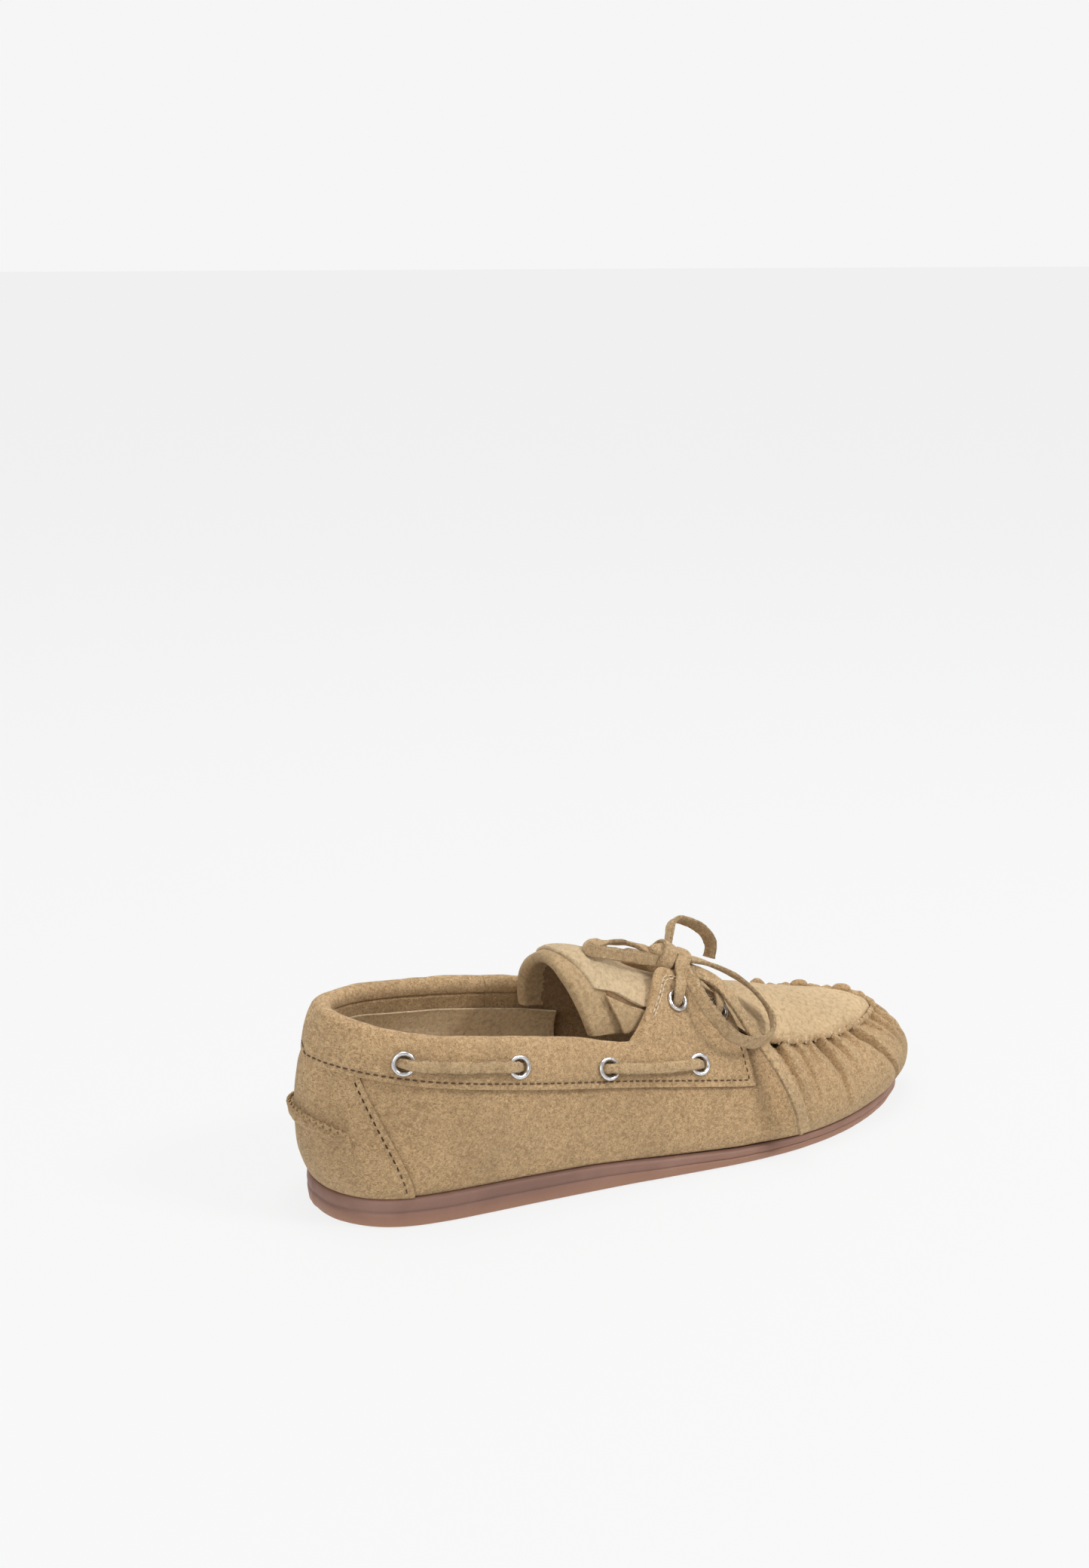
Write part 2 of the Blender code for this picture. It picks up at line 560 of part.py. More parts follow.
def facing_at(side, s, w, depth=0.0):
    """A facing's surface point and normal at fractional station s and share w of the way to its inner edge."""
    a, b = int(min(math.floor(s), FRONT - 1)), int(min(math.floor(s), FRONT - 1)) + 1
    u = s - a
    rows = []
    for station in (a, b):
        p, n = facing_rows(side, station)
        share = np.linspace(0, 1, len(p))
        rows.append([np.array([np.interp(w, share, g[:, k]) for k in range(3)]) for g in (p, n)])
    p = rows[0][0] * (1 - u) + rows[1][0] * u
    n = unit(rows[0][1] * (1 - u) + rows[1][1] * u)
    return p - n * depth, n


def facing_place(side, x, z):
    """The station and share of the facing's surface point nearest to (x, z)."""
    spots = [(s, w) for s in np.arange(BASE + 1, FRONT, 0.1) for w in np.arange(0.1, 0.92, 0.04)]
    return min(spots, key=lambda q: float(np.sum((facing_at(side, *q)[0][[0, 2]] - (x, z)) ** 2)))


EYELETS = {"lateral": [(24.0, 59.0), (63.5, 51.6), (99.0, 44.6), (136.0, 39.4), (134.0, 59.0), (151.5, 52.4)],
           "medial": [(24.0, 62.4), (63.5, 57.2), (99.0, 51.2), (136.0, 44.2), (134.0, 60.0), (151.5, 53.2)]}
NAMES = ("collar_1", "collar_2", "collar_3", "collar_4", "facing_rear", "facing_front")
places = {}


def eyelet(name, p, n):
    """A turned flange and barrel, its axis along the surface's normal."""
    profile = [(2.75, 1.15), (3.5, 1.35), (4.4, 0.95), (4.4, 0.5), (3.05, 0.45), (3.0, -SUEDE), (2.75, -SUEDE)]
    mesh = bpy.data.meshes.new(name)
    mesh.from_pydata([(r * MM, 0, z * MM) for r, z in profile], [(i, (i + 1) % len(profile)) for i in range(len(profile))], [])
    obj = finish(mesh, name, STEEL)
    screw = obj.modifiers.new("turn", "SCREW")
    screw.steps = screw.render_steps = 16
    screw.use_merge_vertices = True
    screw.merge_threshold = 0.00001
    screw.use_normal_calculate = True
    obj.location = Vector((np.asarray(p) - CENTRE) * MM)
    obj.rotation_euler = Vector(n).to_track_quat("Z", "X").to_euler()
    return obj


def cutter(name, p, n, target, low=-1.9 - SUEDE, high=2.0):
    middle = np.asarray(p) + np.asarray(n) * (low + high) / 2
    bpy.ops.mesh.primitive_cylinder_add(vertices=16, radius=HOLE * MM, depth=(high - low) * MM,
                                        location=Vector((middle - CENTRE) * MM),
                                        rotation=Vector(n).to_track_quat("Z", "X").to_euler())
    obj = bpy.context.object
    obj.name = name
    for c in obj.users_collection:
        c.objects.unlink(obj)
    cutters.objects.link(obj)
    obj.hide_render = True
    obj.display_type = "WIRE"
    for t in target:
        cut = t.modifiers.new(name, "BOOLEAN")
        cut.operation = "DIFFERENCE"
        cut.solver = "EXACT"
        cut.object = obj


for side, spots in EYELETS.items():
    for label, (x, z) in zip(NAMES, spots):
        if label.startswith("collar"):
            c, r = locate(side, x, z)
            p, n = at(c, r), normal_at(c, r)
            places[side, label] = (c, r)
        else:
            places[side, label] = facing_place(side, x, z)
            p, n = facing_at(side, *places[side, label])
        name = f"eyelet_{side}_{label}"
        eyelet(name, p, n)
        leather = lateral_band if side == "lateral" or x < 70 else medial_band
        both = [leather] + ([backers[side]] if label.startswith("facing") else [])
        cutter(name + "_hole", p, n, both, low=-3.3 if label.startswith("facing") else -1.5)

# ---------------------------------------------------------------- laces
def ribbon(name, points, ups, widths, thick, mat):
    """A flat strip through points, each with the direction its face looks in and its width."""
    points, ups = np.asarray(points, float), np.asarray(ups, float)
    widths = np.broadcast_to(np.asarray(widths, float), (len(points),))
    along = unit(np.gradient(points, axis=0))
    ups = unit(ups - along * np.sum(ups * along, 1, keepdims=True))
    side = np.cross(along, ups)
    loops = []
    for p, u, s, w in zip(points, ups, side, widths):
        a, b = w / 2, thick / 2
        loops.append([p + s * x * a + u * y * b for x, y in ((-1, -0.5), (-0.9, -1), (0.9, -1), (1, -0.5), (1, 0.5), (0.9, 1), (-0.9, 1), (-1, 0.5))])
    return loft(name, loops, mat)


OUTSIDE, OVER_FLANGE, INSIDE = -0.95, -2.3, SUEDE + GAP + LACE_T / 2 + 0.15


def collar_lace(side):
    """The lace's run on one side, from the front eyelet, in and out of the band, towards the heel: (column, row, depth, width)."""
    knots = [places[side, k] for k in ("collar_4", "collar_3", "collar_2", "collar_1")]
    sign = 1 if side == "lateral" else -1

    def cols_per_mm(c):
        return 1.0 / np.linalg.norm(at(c + 0.5, 5.5) - at(c - 0.5, 5.5))

    out = [(knots[0][0] - sign * 6 * cols_per_mm(knots[0][0]), knots[0][1], INSIDE, LACE_W)]
    for k, (c, r) in enumerate(knots):
        m = cols_per_mm(c) * sign
        leaving = 1 if k % 2 == 0 else -1
        steps = [(-4.4, INSIDE, 3.6), (-2.7, INSIDE, 2.8), (0.0, -0.1, 2.8), (2.4, OVER_FLANGE, 2.8), (5.0, OVER_FLANGE, 4.0), (8.0, OUTSIDE, LACE_W)]
        run = [(c + leaving * s * m, r, d, w) for s, d, w in steps]
        out += run if leaving == 1 else run[::-1]
        if k < 3:
            c2, r2 = knots[k + 1]
            a, b = out[-1][0], c2 - sign * (8.0 if k % 2 == 0 else 4.4) * cols_per_mm(c2)
            depth = OUTSIDE if k % 2 == 0 else INSIDE
            n = 4 if k % 2 == 0 else 3
            for w in np.arange(1, n) / n:
                out.append((a + (b - a) * w, r + (r2 - r) * w, depth, LACE_W))
    return out


lat_run, med_run = collar_lace("lateral"), collar_lace("medial")
a, b = lat_run[-1], med_run[-1]
run = lat_run + [(HEEL, (a[1] + b[1]) / 2, INSIDE, LACE_W)] + med_run[::-1]
full = []
for one, two in zip(run[:-1], run[1:]):  # a point wherever the lace crosses a station, so that it follows the leather
    full.append(one)
    lo, hi = sorted((one[0], two[0]))
    for c in sorted(range(math.ceil(lo + 0.06), math.floor(hi - 0.06) + 1), key=lambda v: abs(v - one[0])):
        w = (c - one[0]) / (two[0] - one[0])
        full.append(tuple(o * (1 - w) + q * w for o, q in zip(one, two)))
run = full + [run[-1]]
ribbon("collar_lace", [at(c, r, d) for c, r, d, w in run], [normal_at(c, r) for c, r, d, w in run], [w for c, r, d, w in run], LACE_T, LACE)

KNOT = np.array([137.2, -4.2, 70.6])


def free(name, points, ups, width=5.0, thick=1.5, n=14):
    p = smooth_path(points, n)
    u = unit(smooth_path(ups, n))
    return ribbon(name, p, u, width, thick, LACE)


# across the throat, under the facings from the front eyelets to the rear ones, and up to the knot
UNDER = SUEDE + GAP + 0.8 + GAP + LACE_T / 2 + 0.2


def towards(side, label, target):
    """At a facing eyelet: its point, its normal, and the direction along the leather towards a target."""
    p, n = facing_at(side, *places[side, label])
    d = np.asarray(target, float) - p
    return p, n, unit(d - n * np.dot(d, n))


def strip(name, rows):
    return ribbon(name, [r[0] for r in rows], [r[1] for r in rows], [r[2] for r in rows], LACE_T, LACE)


bar = []
for side in ("lateral", "medial"):
    p, n, d = towards(side, "facing_front", (153.5, 0.0, 60.0))
    half = [(p + n * 0.4 - d * 0.6, n - d * 0.9, 2.6), (p + n * 1.5 + d * 0.9, n - d * 0.8, 2.6), (p + n * 2.35 + d * 2.6, n, 2.8), (p + n * 2.35 + d * 5.4, n, 4.2)]
    bar += half if side == "lateral" else [((153.8, -6.0, 61.0), (0.2, -0.2, 1), LACE_W), ((154.0, 0.0, 61.8), (0.2, 0, 1), LACE_W), ((153.8, 6.0, 61.4), (0.2, 0.2, 1), LACE_W)] + half[::-1]
    p, n, d = towards(side, "facing_rear", KNOT)
    aim = unit(KNOT - p)
    strip("lace_riser_" + side, [(p + n * 0.4 - d * 0.6, n - d * 0.9, 2.6), (p + n * 1.5 + d * 0.9, n - d * 0.8, 2.6), (p + n * 2.35 + d * 2.6, n, 2.8), (p + n * 3.3 + d * 5.2, n, 3.8),
                                 (p + n * 5.6 + d * 7.4, n, 4.0), (KNOT - aim * 8.8 + n * 3.0, n, 4.0)])
    (s0, w0), (s1, w1) = places[side, "facing_rear"], places[side, "facing_front"]
    under = []
    for w in np.linspace(0.0, 1.0, 9):
        q, n = facing_at(side, s0 + (s1 - s0) * w, w0 + (w1 - w0) * w, UNDER)
        under.append((q, n, 4.2))
    strip("lace_under_" + side, under)
strip("lace_bar", bar)

bpy.ops.mesh.primitive_uv_sphere_add(segments=14, ring_count=8, radius=1.0, location=Vector((KNOT - CENTRE) * MM))
knot = bpy.context.object
knot.name = "lace_knot"
knot.scale = (7.2 * MM, 5.6 * MM, 4.6 * MM)
knot.rotation_euler = (math.radians(15), math.radians(12), math.radians(-10))
for c in knot.users_collection:
    c.objects.unlink(knot)
collection.objects.link(knot)
knot.data.materials.append(LACE)
knot.data.shade_smooth()

free("lace_loop_front", [(146.6, -8.2, 69.4), (152.0, -9.5, 67.8), (162.6, -12.0, 62.1), (170.8, -15.0, 54.7), (173.9, -19.5, 48.8), (171.7, -25.5, 45.8), (166.6, -31.4, 45.2),
                         (159.6, -34.6, 45.2), (153.2, -35.6, 46.6), (147.1, -34.5, 50.0), (143.2, -30.5, 55.8), (141.0, -24.5, 61.2), (141.0, -18.5, 65.0), (141.2, -13.6, 67.0)],
     [(0.5, 0.3, 1), (0.5, 0.3, 1), (0.7, 0.2, 0.8), (0.9, -0.1, 0.6), (0.9, -0.6, 0.4), (0.4, -1, 0.5), (0.2, -1, 0.6), (0.0, -1, 0.6), (-0.1, -1, 0.6), (-0.2, -1, 0.6), (-0.2, -0.9, 0.6), (-0.2, -0.8, 0.7), (-0.2, -0.8, 0.6), (-0.2, -0.8, 0.6)], width=4.4, n=26)
free("lace_loop_rear", [(128.9, -0.8, 74.0), (126.0, 0.6, 75.6), (122.1, 0.8, 77.3), (112.8, -2.0, 80.2), (104.9, -5.0, 82.2), (104.9, -8.4, 82.4), (112.6, -9.4, 79.8), (121.5, -8.7, 76.0), (128.0, -7.8, 72.6)],
     [(0.2, 0.9, 0.7), (0.0, 1, 0.6), (-0.3, 0.9, 0.6), (-0.9, 0.4, 0.5), (-1, -0.3, 0.4), (-0.3, -1, 0.6), (0.1, -0.9, 0.8), (0.1, -0.6, 1), (0, -0.5, 1)], width=4.2, n=20)
free("lace_end_medial", [(142.6, 1.6, 74.6), (144.8, 4.5, 77.2), (146.6, 6.5, 78.8), (150.1, 9.0, 79.4), (155.7, 10.5, 77.3), (161.5, 11.5, 73.9), (166.3, 12.5, 69.1), (168.1, 13.0, 64.6), (167.6, 13.0, 59.8)],
     [(0.2, -0.6, 0.8), (0.3, -0.3, 1), (0.4, -0.1, 1), (0.6, 0, 1), (0.7, 0.1, 0.9), (0.8, 0.2, 0.7), (0.9, 0.2, 0.5), (0.9, 0.2, 0.3), (0.9, 0.2, 0.2)], width=4.4, n=14)
free("lace_end_lateral", [(145.0, -10.6, 65.6), (149.0, -12.6, 64.3), (153.4, -16.2, 62.6), (157.4, -22.0, 55.4), (160.8, -28.6, 44.2), (163.2, -34.0, 38.6), (165.0, -40.8, 33.2), (167.3, -45.4, 27.0), (169.6, -46.4, 20.1), (171.5, -46.5, 12.3)],
     [(0.2, -0.9, 0.7), (0.3, -0.9, 0.7), (0.4, -0.9, 0.7), (0.4, -1, 0.7), (0.2, -0.8, 1), (0.2, -0.8, 1), (0.3, -1, 0.6), (0.3, -1, 0.3), (0.3, -1, 0.1), (0.3, -1, 0.0)], width=4.6, n=20)

# ---------------------------------------------------------------- seams' threads
tube("collar_band_thread", [at(c, LOW + 0.32, -0.8) for c in np.r_[HEEL - FRONT + 0.15, np.arange(HEEL - FRONT + 0.5, HEEL + FRONT - 0.4, 0.5), HEEL + FRONT - 0.15]], 0.3, THREAD, resolution=1)
for side in ("lateral", "medial"):
    k = 1 if side == "medial" else -1
    c0 = HEEL + k * (SEAM + 0.35)
    tube("counter_thread_" + side, [at(c0, r, 1.2 - 0.95) for r in np.linspace(0.3, 3.2, 7)], 0.3, THREAD, resolution=1)
    pts = []
    for st in range(BASE + 1, FRONT + 1):
        p, n = facing_rows(side, st)
        w = 1 - 2.4 / max(4.0, np.linalg.norm(p[-1] - p[0]))
        pts.append(facing_at(side, min(st, FRONT - 0.02), w, -0.85)[0])
    tube("facing_thread_" + side, pts, 0.3, THREAD, resolution=1)
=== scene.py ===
"""The looks of a right suede moccasin: leathers, stitching, eyelets, laces and rubber sole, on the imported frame."""

import math

import bpy
import numpy as np
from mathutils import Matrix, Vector


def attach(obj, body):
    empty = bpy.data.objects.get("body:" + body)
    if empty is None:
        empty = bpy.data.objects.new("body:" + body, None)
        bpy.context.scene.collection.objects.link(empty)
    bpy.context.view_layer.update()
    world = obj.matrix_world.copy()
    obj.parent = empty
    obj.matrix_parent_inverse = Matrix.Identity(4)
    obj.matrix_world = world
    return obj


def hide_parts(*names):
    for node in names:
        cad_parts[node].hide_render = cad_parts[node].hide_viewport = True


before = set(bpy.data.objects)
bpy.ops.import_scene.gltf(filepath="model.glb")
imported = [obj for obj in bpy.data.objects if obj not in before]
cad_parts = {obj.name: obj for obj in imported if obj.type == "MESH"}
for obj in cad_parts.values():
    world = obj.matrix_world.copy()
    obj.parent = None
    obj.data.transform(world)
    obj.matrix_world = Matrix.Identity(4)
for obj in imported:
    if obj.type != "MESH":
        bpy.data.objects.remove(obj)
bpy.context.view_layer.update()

MM = 0.001
CENTRE = np.array([122.75, -0.25, 0.0])
rng = np.random.default_rng(7)

# ------------------------------------------------------------------ camera, first
AZ, EL = math.radians(-27.2235), math.radians(14.738)
eye = (np.array([-223.282, -609.497, 321.193]) - CENTRE) * MM
back = Vector((math.sin(AZ) * math.cos(EL), -math.cos(AZ) * math.cos(EL), math.sin(EL)))
lens = bpy.data.cameras.new("camera")
lens.sensor_width = 36.0
lens.lens = 36.0 * 2698.21 / 2080.0
lens.clip_start, lens.clip_end = 0.01, 50.0
camera = bpy.data.objects.new("camera", lens)
camera.location = Vector(eye)
camera.rotation_euler = (-back).to_track_quat("-Z", "Y").to_euler()
bpy.context.scene.collection.objects.link(camera)
bpy.context.scene.camera = camera

# ------------------------------------------------------------------ the upper's leading curves, in millimetres
SOLE_LATERAL = [(0.0, 0.0), (0.8, -7.0), (3.0, -13.2), (7.0, -19.4), (12.5, -24.6), (18.8, -28.2), (26.0, -30.6), (37.0, -32.3),
                (52.0, -33.3), (68.5, -34.0), (85.0, -34.9), (107.0, -36.3), (124.0, -37.9), (140.0, -39.3), (158.0, -40.2),
                (177.0, -39.2), (195.0, -35.6), (208.0, -31.0), (224.0, -22.9), (234.0, -15.8), (241.0, -9.0), (245.2, -2.5), (246.0, 4.0)]
SOLE_MEDIAL = [(0.0, 0.0), (0.8, 7.0), (3.0, 13.0), (7.0, 18.9), (12.5, 23.6), (18.8, 26.6), (26.0, 28.6), (37.0, 29.8),
               (52.0, 29.9), (68.0, 28.9), (85.0, 27.6), (100.0, 27.3), (115.0, 28.6), (130.0, 31.4), (145.0, 34.6), (160.0, 37.3),
               (175.0, 38.6), (190.0, 37.9), (205.0, 34.6), (218.0, 29.2), (230.0, 22.0), (238.5, 15.6), (244.0, 9.8), (246.0, 4.0)]
TOP_LATERAL = [(2.4, 0.0, 71.0), (4.0, -7.5, 70.6), (9.0, -15.0, 69.4), (18.0, -21.8, 67.2), (29.0, -26.2, 64.9), (42.0, -28.2, 62.4),
               (56.0, -28.8, 60.0), (71.0, -28.8, 57.4), (85.0, -28.7, 54.8), (98.0, -28.5, 52.0), (110.0, -28.2, 49.4), (120.0, -27.8, 48.9),
               (130.0, -26.8, 49.2), (140.0, -25.8, 48.6), (150.0, -25.2, 46.4), (158.0, -24.9, 43.8), (170.0, -24.6, 39.3),
               (181.0, -24.0, 36.3), (193.0, -22.2, 34.9), (205.0, -19.4, 34.0), (217.0, -14.6, 33.5), (227.0, -8.4, 33.4),
               (233.5, -2.0, 33.4), (236.0, 4.0, 33.5)]
TOP_MEDIAL = [(2.4, 0.0, 71.0), (4.0, 7.5, 70.8), (9.0, 15.0, 70.2), (18.0, 21.2, 69.2), (29.0, 25.2, 68.2), (42.0, 27.2, 66.8),
              (56.0, 28.0, 65.2), (71.0, 28.2, 63.3), (85.0, 28.0, 61.2), (98.0, 27.6, 58.6), (110.0, 27.2, 56.0), (120.0, 26.6, 54.4),
              (130.0, 26.0, 53.2), (140.0, 25.6, 51.6), (150.0, 25.4, 49.2), (158.0, 25.4, 46.8), (170.0, 25.4, 43.0),
              (181.0, 25.2, 40.4), (193.0, 24.8, 38.4), (205.0, 23.6, 36.9), (216.0, 21.0, 35.8), (226.0, 16.2, 34.6),
              (233.0, 10.4, 33.8), (236.0, 4.0, 33.5)]
FACING_LATERAL = [(110.6, -27.6, 50.6), (116.5, -25.2, 54.6), (122.5, -21.2, 60.2), (127.0, -16.6, 65.6), (132.0, -11.4, 69.2),
                  (138.0, -10.8, 67.0), (146.0, -12.0, 62.0), (152.0, -13.6, 58.0), (156.5, -15.2, 55.2)]
FACING_MEDIAL = [(110.6, 26.6, 57.2), (116.5, 24.0, 60.0), (122.5, 20.2, 63.2), (127.0, 16.2, 66.6), (132.0, 11.8, 69.2),
                 (138.0, 11.0, 67.0), (146.0, 12.2, 62.4), (152.0, 13.8, 58.6), (156.5, 15.4, 55.8)]
BAND_LOW = ((-5.0, 56.0), (8.0, 54.6), (67.0, 43.6), (110.0, 36.4), (156.0, 28.6))
SOLE_WALL = ((0, 10.4), (60, 10.4), (92, 9.8), (120, 8.0), (150, 6.2), (185, 5.6), (225, 5.8), (246, 6.2))
STATIONS = [(0.0, 0.0), (22.5, 3.6), (60.0, 46.0), (110.0, 108.5), (156.5, 156.5), (181.0, 181.0), (208.0, 203.5), (228.0, 219.5)]
STEPS = [3, 3, 5, 5, 2, 3, 3, 3]
NST = sum(STEPS)
SEAM, BASE, FRONT = STEPS[0], sum(STEPS[:3]), sum(STEPS[:4])
LOW, HIGH = 4, 3
TOP = LOW + HIGH
HEEL, COLS = NST, 2 * NST
K, RK = 12, 12  # fine steps to a station and to a row


def unit(v):
    return v / np.maximum(np.linalg.norm(v, axis=-1, keepdims=True), 1e-9)


def table(x, rows):
    return np.interp(x, [r[0] for r in rows], [r[1] for r in rows])


def smoothstep(x, a, b):
    t = np.clip((np.asarray(x, float) - a) / (b - a), 0, 1)
    return t * t * (3 - 2 * t)


def smooth_path(points, n=None, step=None, at=None):
    p = np.array(points, float)
    p = np.vstack([2 * p[0] - p[1], p, 2 * p[-1] - p[-2]])
    out = []
    for i in range(1, len(p) - 2):
        a, b, c, d = p[i - 1 : i + 3]
        t0, t1 = 0.0, max(np.linalg.norm(b - a), 1e-6) ** 0.5
        t2 = t1 + max(np.linalg.norm(c - b), 1e-6) ** 0.5
        t3 = t2 + max(np.linalg.norm(d - c), 1e-6) ** 0.5
        t = np.linspace(t1, t2, 33)[:-1, None]
        a1 = (t1 - t) / (t1 - t0) * a + (t - t0) / (t1 - t0) * b
        a2 = (t2 - t) / (t2 - t1) * b + (t - t1) / (t2 - t1) * c
        a3 = (t3 - t) / (t3 - t2) * c + (t - t2) / (t3 - t2) * d
        b1 = (t2 - t) / (t2 - t0) * a1 + (t - t0) / (t2 - t0) * a2
        b2 = (t3 - t) / (t3 - t1) * a2 + (t - t1) / (t3 - t1) * a3
        out.append((t2 - t) / (t2 - t1) * b1 + (t - t1) / (t2 - t1) * b2)
    out.append(p[-2][None])
    dense = np.vstack(out)
    s = np.r_[0, np.cumsum(np.linalg.norm(np.diff(dense, axis=0), axis=1))]
    if at is None:
        if step is not None:
            n = max(1, int(round(s[-1] / step)))
        at = np.linspace(0, 1, n + 1)
    q = np.asarray(at) * s[-1]
    return np.stack([np.interp(q, s, dense[:, k]) for k in range(dense.shape[1])], -1)


def blur(a, times, closed=False, axis=0):
    """Repeated neighbour averaging along an axis, its ends kept."""
    a = np.moveaxis(np.array(a, float), axis, 0)
    for _ in range(times):
        if closed:
            a = a * 0.5 + (np.roll(a, 1, 0) + np.roll(a, -1, 0)) * 0.25
        else:
            a[1:-1] = a[1:-1] * 0.5 + (a[:-2] + a[2:]) * 0.25
    return np.moveaxis(a, 0, axis)


# ------------------------------------------------------------------ the upper's surface, finely
def fine_shares(points, xs):
    d = smooth_path(points, 4000)
    shares = [0.0] + [float(np.argmax(d[:, 0] >= x)) / 4000 for x in xs[1:]] + [1.0]
    out = [0.0]
    for i, n in enumerate(STEPS):
        out += list(shares[i] + (shares[i + 1] - shares[i]) * np.arange(1, n + 1) / n)
    out = np.array(out)
    for _ in range(2):
        out[1:-1] = out[1:-1] * 0.5 + (out[:-2] + out[2:]) * 0.25
    fine = np.interp(np.arange(NST * K + 1) / K, np.arange(NST + 1), out)
    return blur(fine, 60)


def side_fine(sole, top, sign, lift=0.0):
    b = smooth_path(sole, at=fine_shares(sole, [s[0] for s in STATIONS]))
    t = smooth_path(top, at=fine_shares(top, [s[1] for s in STATIONS]))
    g = unit(np.gradient(b, axis=0))
    g[0], g[-1] = (0, sign), (0, -sign)
    n = np.stack([-sign * g[:, 1], sign * g[:, 0]], -1)
    n = unit(blur(n, 10))
    n[0], n[-1] = (-1, 0), (1, 0)
    z = table(b[:, 0], SOLE_WALL) + 0.1
    x = [0, 12, 40, 110, 150, 181, 215, 246]
    out1 = np.interp(b[:, 0], x, [8.0, 5.4, 3.6, 3.8, 4.4, 5.0, 7.4, 10.0])
    up1 = np.interp(b[:, 0], x, [13, 13, 12, 11, 9, 8.5, 7.5, 7.5])
    out2 = np.interp(b[:, 0], x, [8.4, 7.4, 7.4, 9.0, 11.5, 12.5, 14.0, 15.0])
    down2 = np.interp(b[:, 0], x, [22, 21, 18, 16, 11.5, 8.0, 5.4, 4.6])
    p0, p1 = np.c_[b - n * 0.6, z], np.c_[b + n * (out1[:, None] - 0.6), z + up1]
    p2 = np.c_[t[:, :2] + n * out2[:, None], t[:, 2] - down2]
    v = np.linspace(0, 1, 401)[None, :, None]
    q = (1 - v) ** 3 * p0[:, None] + 3 * (1 - v) ** 2 * v * p1[:, None] + 3 * (1 - v) * v * v * p2[:, None] + v**3 * t[:, None]
    share = np.zeros(len(b))
    for i in range(len(b)):
        gap = q[i, :, 2] - (table(q[i, :, 0], BAND_LOW) + lift)
        j = int(np.argmax(gap >= 0)) if (gap >= 0).any() else 400
        share[i] = (j - gap[j] / max(gap[j] - gap[j - 1], 1e-9)) / 400 if j else 0
    w = np.clip((np.arange(len(b)) / K - FRONT) / 4.0, 0, 1)
    share = np.where(w > 0, share[FRONT * K] * (1 - w) + 0.62 * w, share)
    share = blur(share, 20)
    r = np.arange(TOP * RK + 1) / RK
    grid = np.zeros((len(b), len(r), 3))
    for i in range(len(b)):
        vv = np.interp(r, [0, LOW, TOP], [0, share[i], 1]) * 400
        for k in range(3):
            grid[i, :, k] = np.interp(vv, np.arange(401), q[i, :, k])
    return grid


lat_grid = side_fine(SOLE_LATERAL, TOP_LATERAL, -1)
med_grid = side_fine(SOLE_MEDIAL, TOP_MEDIAL, 1, lift=2.0)
heel_line = (lat_grid[0] + med_grid[0]) / 2
toe_line = (lat_grid[-1] + med_grid[-1]) / 2
lat_grid[0] = med_grid[0] = heel_line
lat_grid[-1] = med_grid[-1] = toe_line
ring = np.concatenate([lat_grid[::-1], med_grid[1:-1]])
ring = blur(ring, 6, closed=True)
NC = len(ring)


def grid_normals(g, closed):
    along = (np.roll(g, -1, 0) - np.roll(g, 1, 0)) if closed else np.gradient(g, axis=0)
    return unit(np.cross(np.gradient(g, axis=1), along))


ring_n = grid_normals(ring, True)
mid = np.array([CENTRE[0], 0, 30.0])
if np.sum(ring_n[:, 20] * (ring[:, 20] - mid)) < 0:
    ring_n = -ring_n


def sample(g, c, r):
    """Bilinear values of a fine ring grid at station c (0 at the toe, HEEL at the heel, growing to the medial side) and row r."""
    c, r = np.broadcast_arrays(np.asarray(c, float), np.asarray(r, float))
    cf, rf = np.mod(c, COLS) * K, np.clip(r, 0, TOP) * RK
    i, j = np.floor(cf).astype(int) % NC, np.minimum(np.floor(rf).astype(int), TOP * RK - 1)
    u, v = (cf - np.floor(cf))[..., None], (rf - j)[..., None]
    k = (i + 1) % NC
    return (g[i, j] * (1 - u) + g[k, j] * u) * (1 - v) + (g[i, j + 1] * (1 - u) + g[k, j + 1] * u) * v


def surf(c, r, depth=0.0):
    depth = np.asarray(depth, float)
    return sample(ring, c, r) - unit(sample(ring_n, c, r)) * depth[..., None]


def norm(c, r):
    return unit(sample(ring_n, c, r))


def station(c):
    """Distance from the heel in stations, and whether it is on the medial side."""
    c = np.mod(np.asarray(c, float), COLS)
    return np.abs(c - HEEL), c > HEEL


# ------------------------------------------------------------------ mesh makers
def to_mesh(name, points, faces, mats, face_mats=None, smooth=True, flip_test=None):
    mesh = bpy.data.meshes.new(name)
    mesh.from_pydata(((np.asarray(points, float) - CENTRE) * MM).tolist(), [], faces)
    mesh.update()
    for m in mats if isinstance(mats, (list, tuple)) else [mats]:
        mesh.materials.append(m)
    if face_mats is not None:
        mesh.polygons.foreach_set("material_index", np.asarray(face_mats, np.int32))
    import bmesh

    bm = bmesh.new()
    bm.from_mesh(mesh)
    bmesh.ops.remove_doubles(bm, verts=bm.verts, dist=1e-7)
    bmesh.ops.recalc_face_normals(bm, faces=bm.faces)
    if bm.calc_volume(signed=True) < 0:
        bmesh.ops.reverse_faces(bm, faces=bm.faces)
    bm.to_mesh(mesh)
    bm.free()
    if smooth:
        mesh.shade_smooth()
        mesh.set_sharp_from_angle(angle=math.radians(60))
    obj = bpy.data.objects.new(name, mesh)
    bpy.context.scene.collection.objects.link(obj)
    return obj


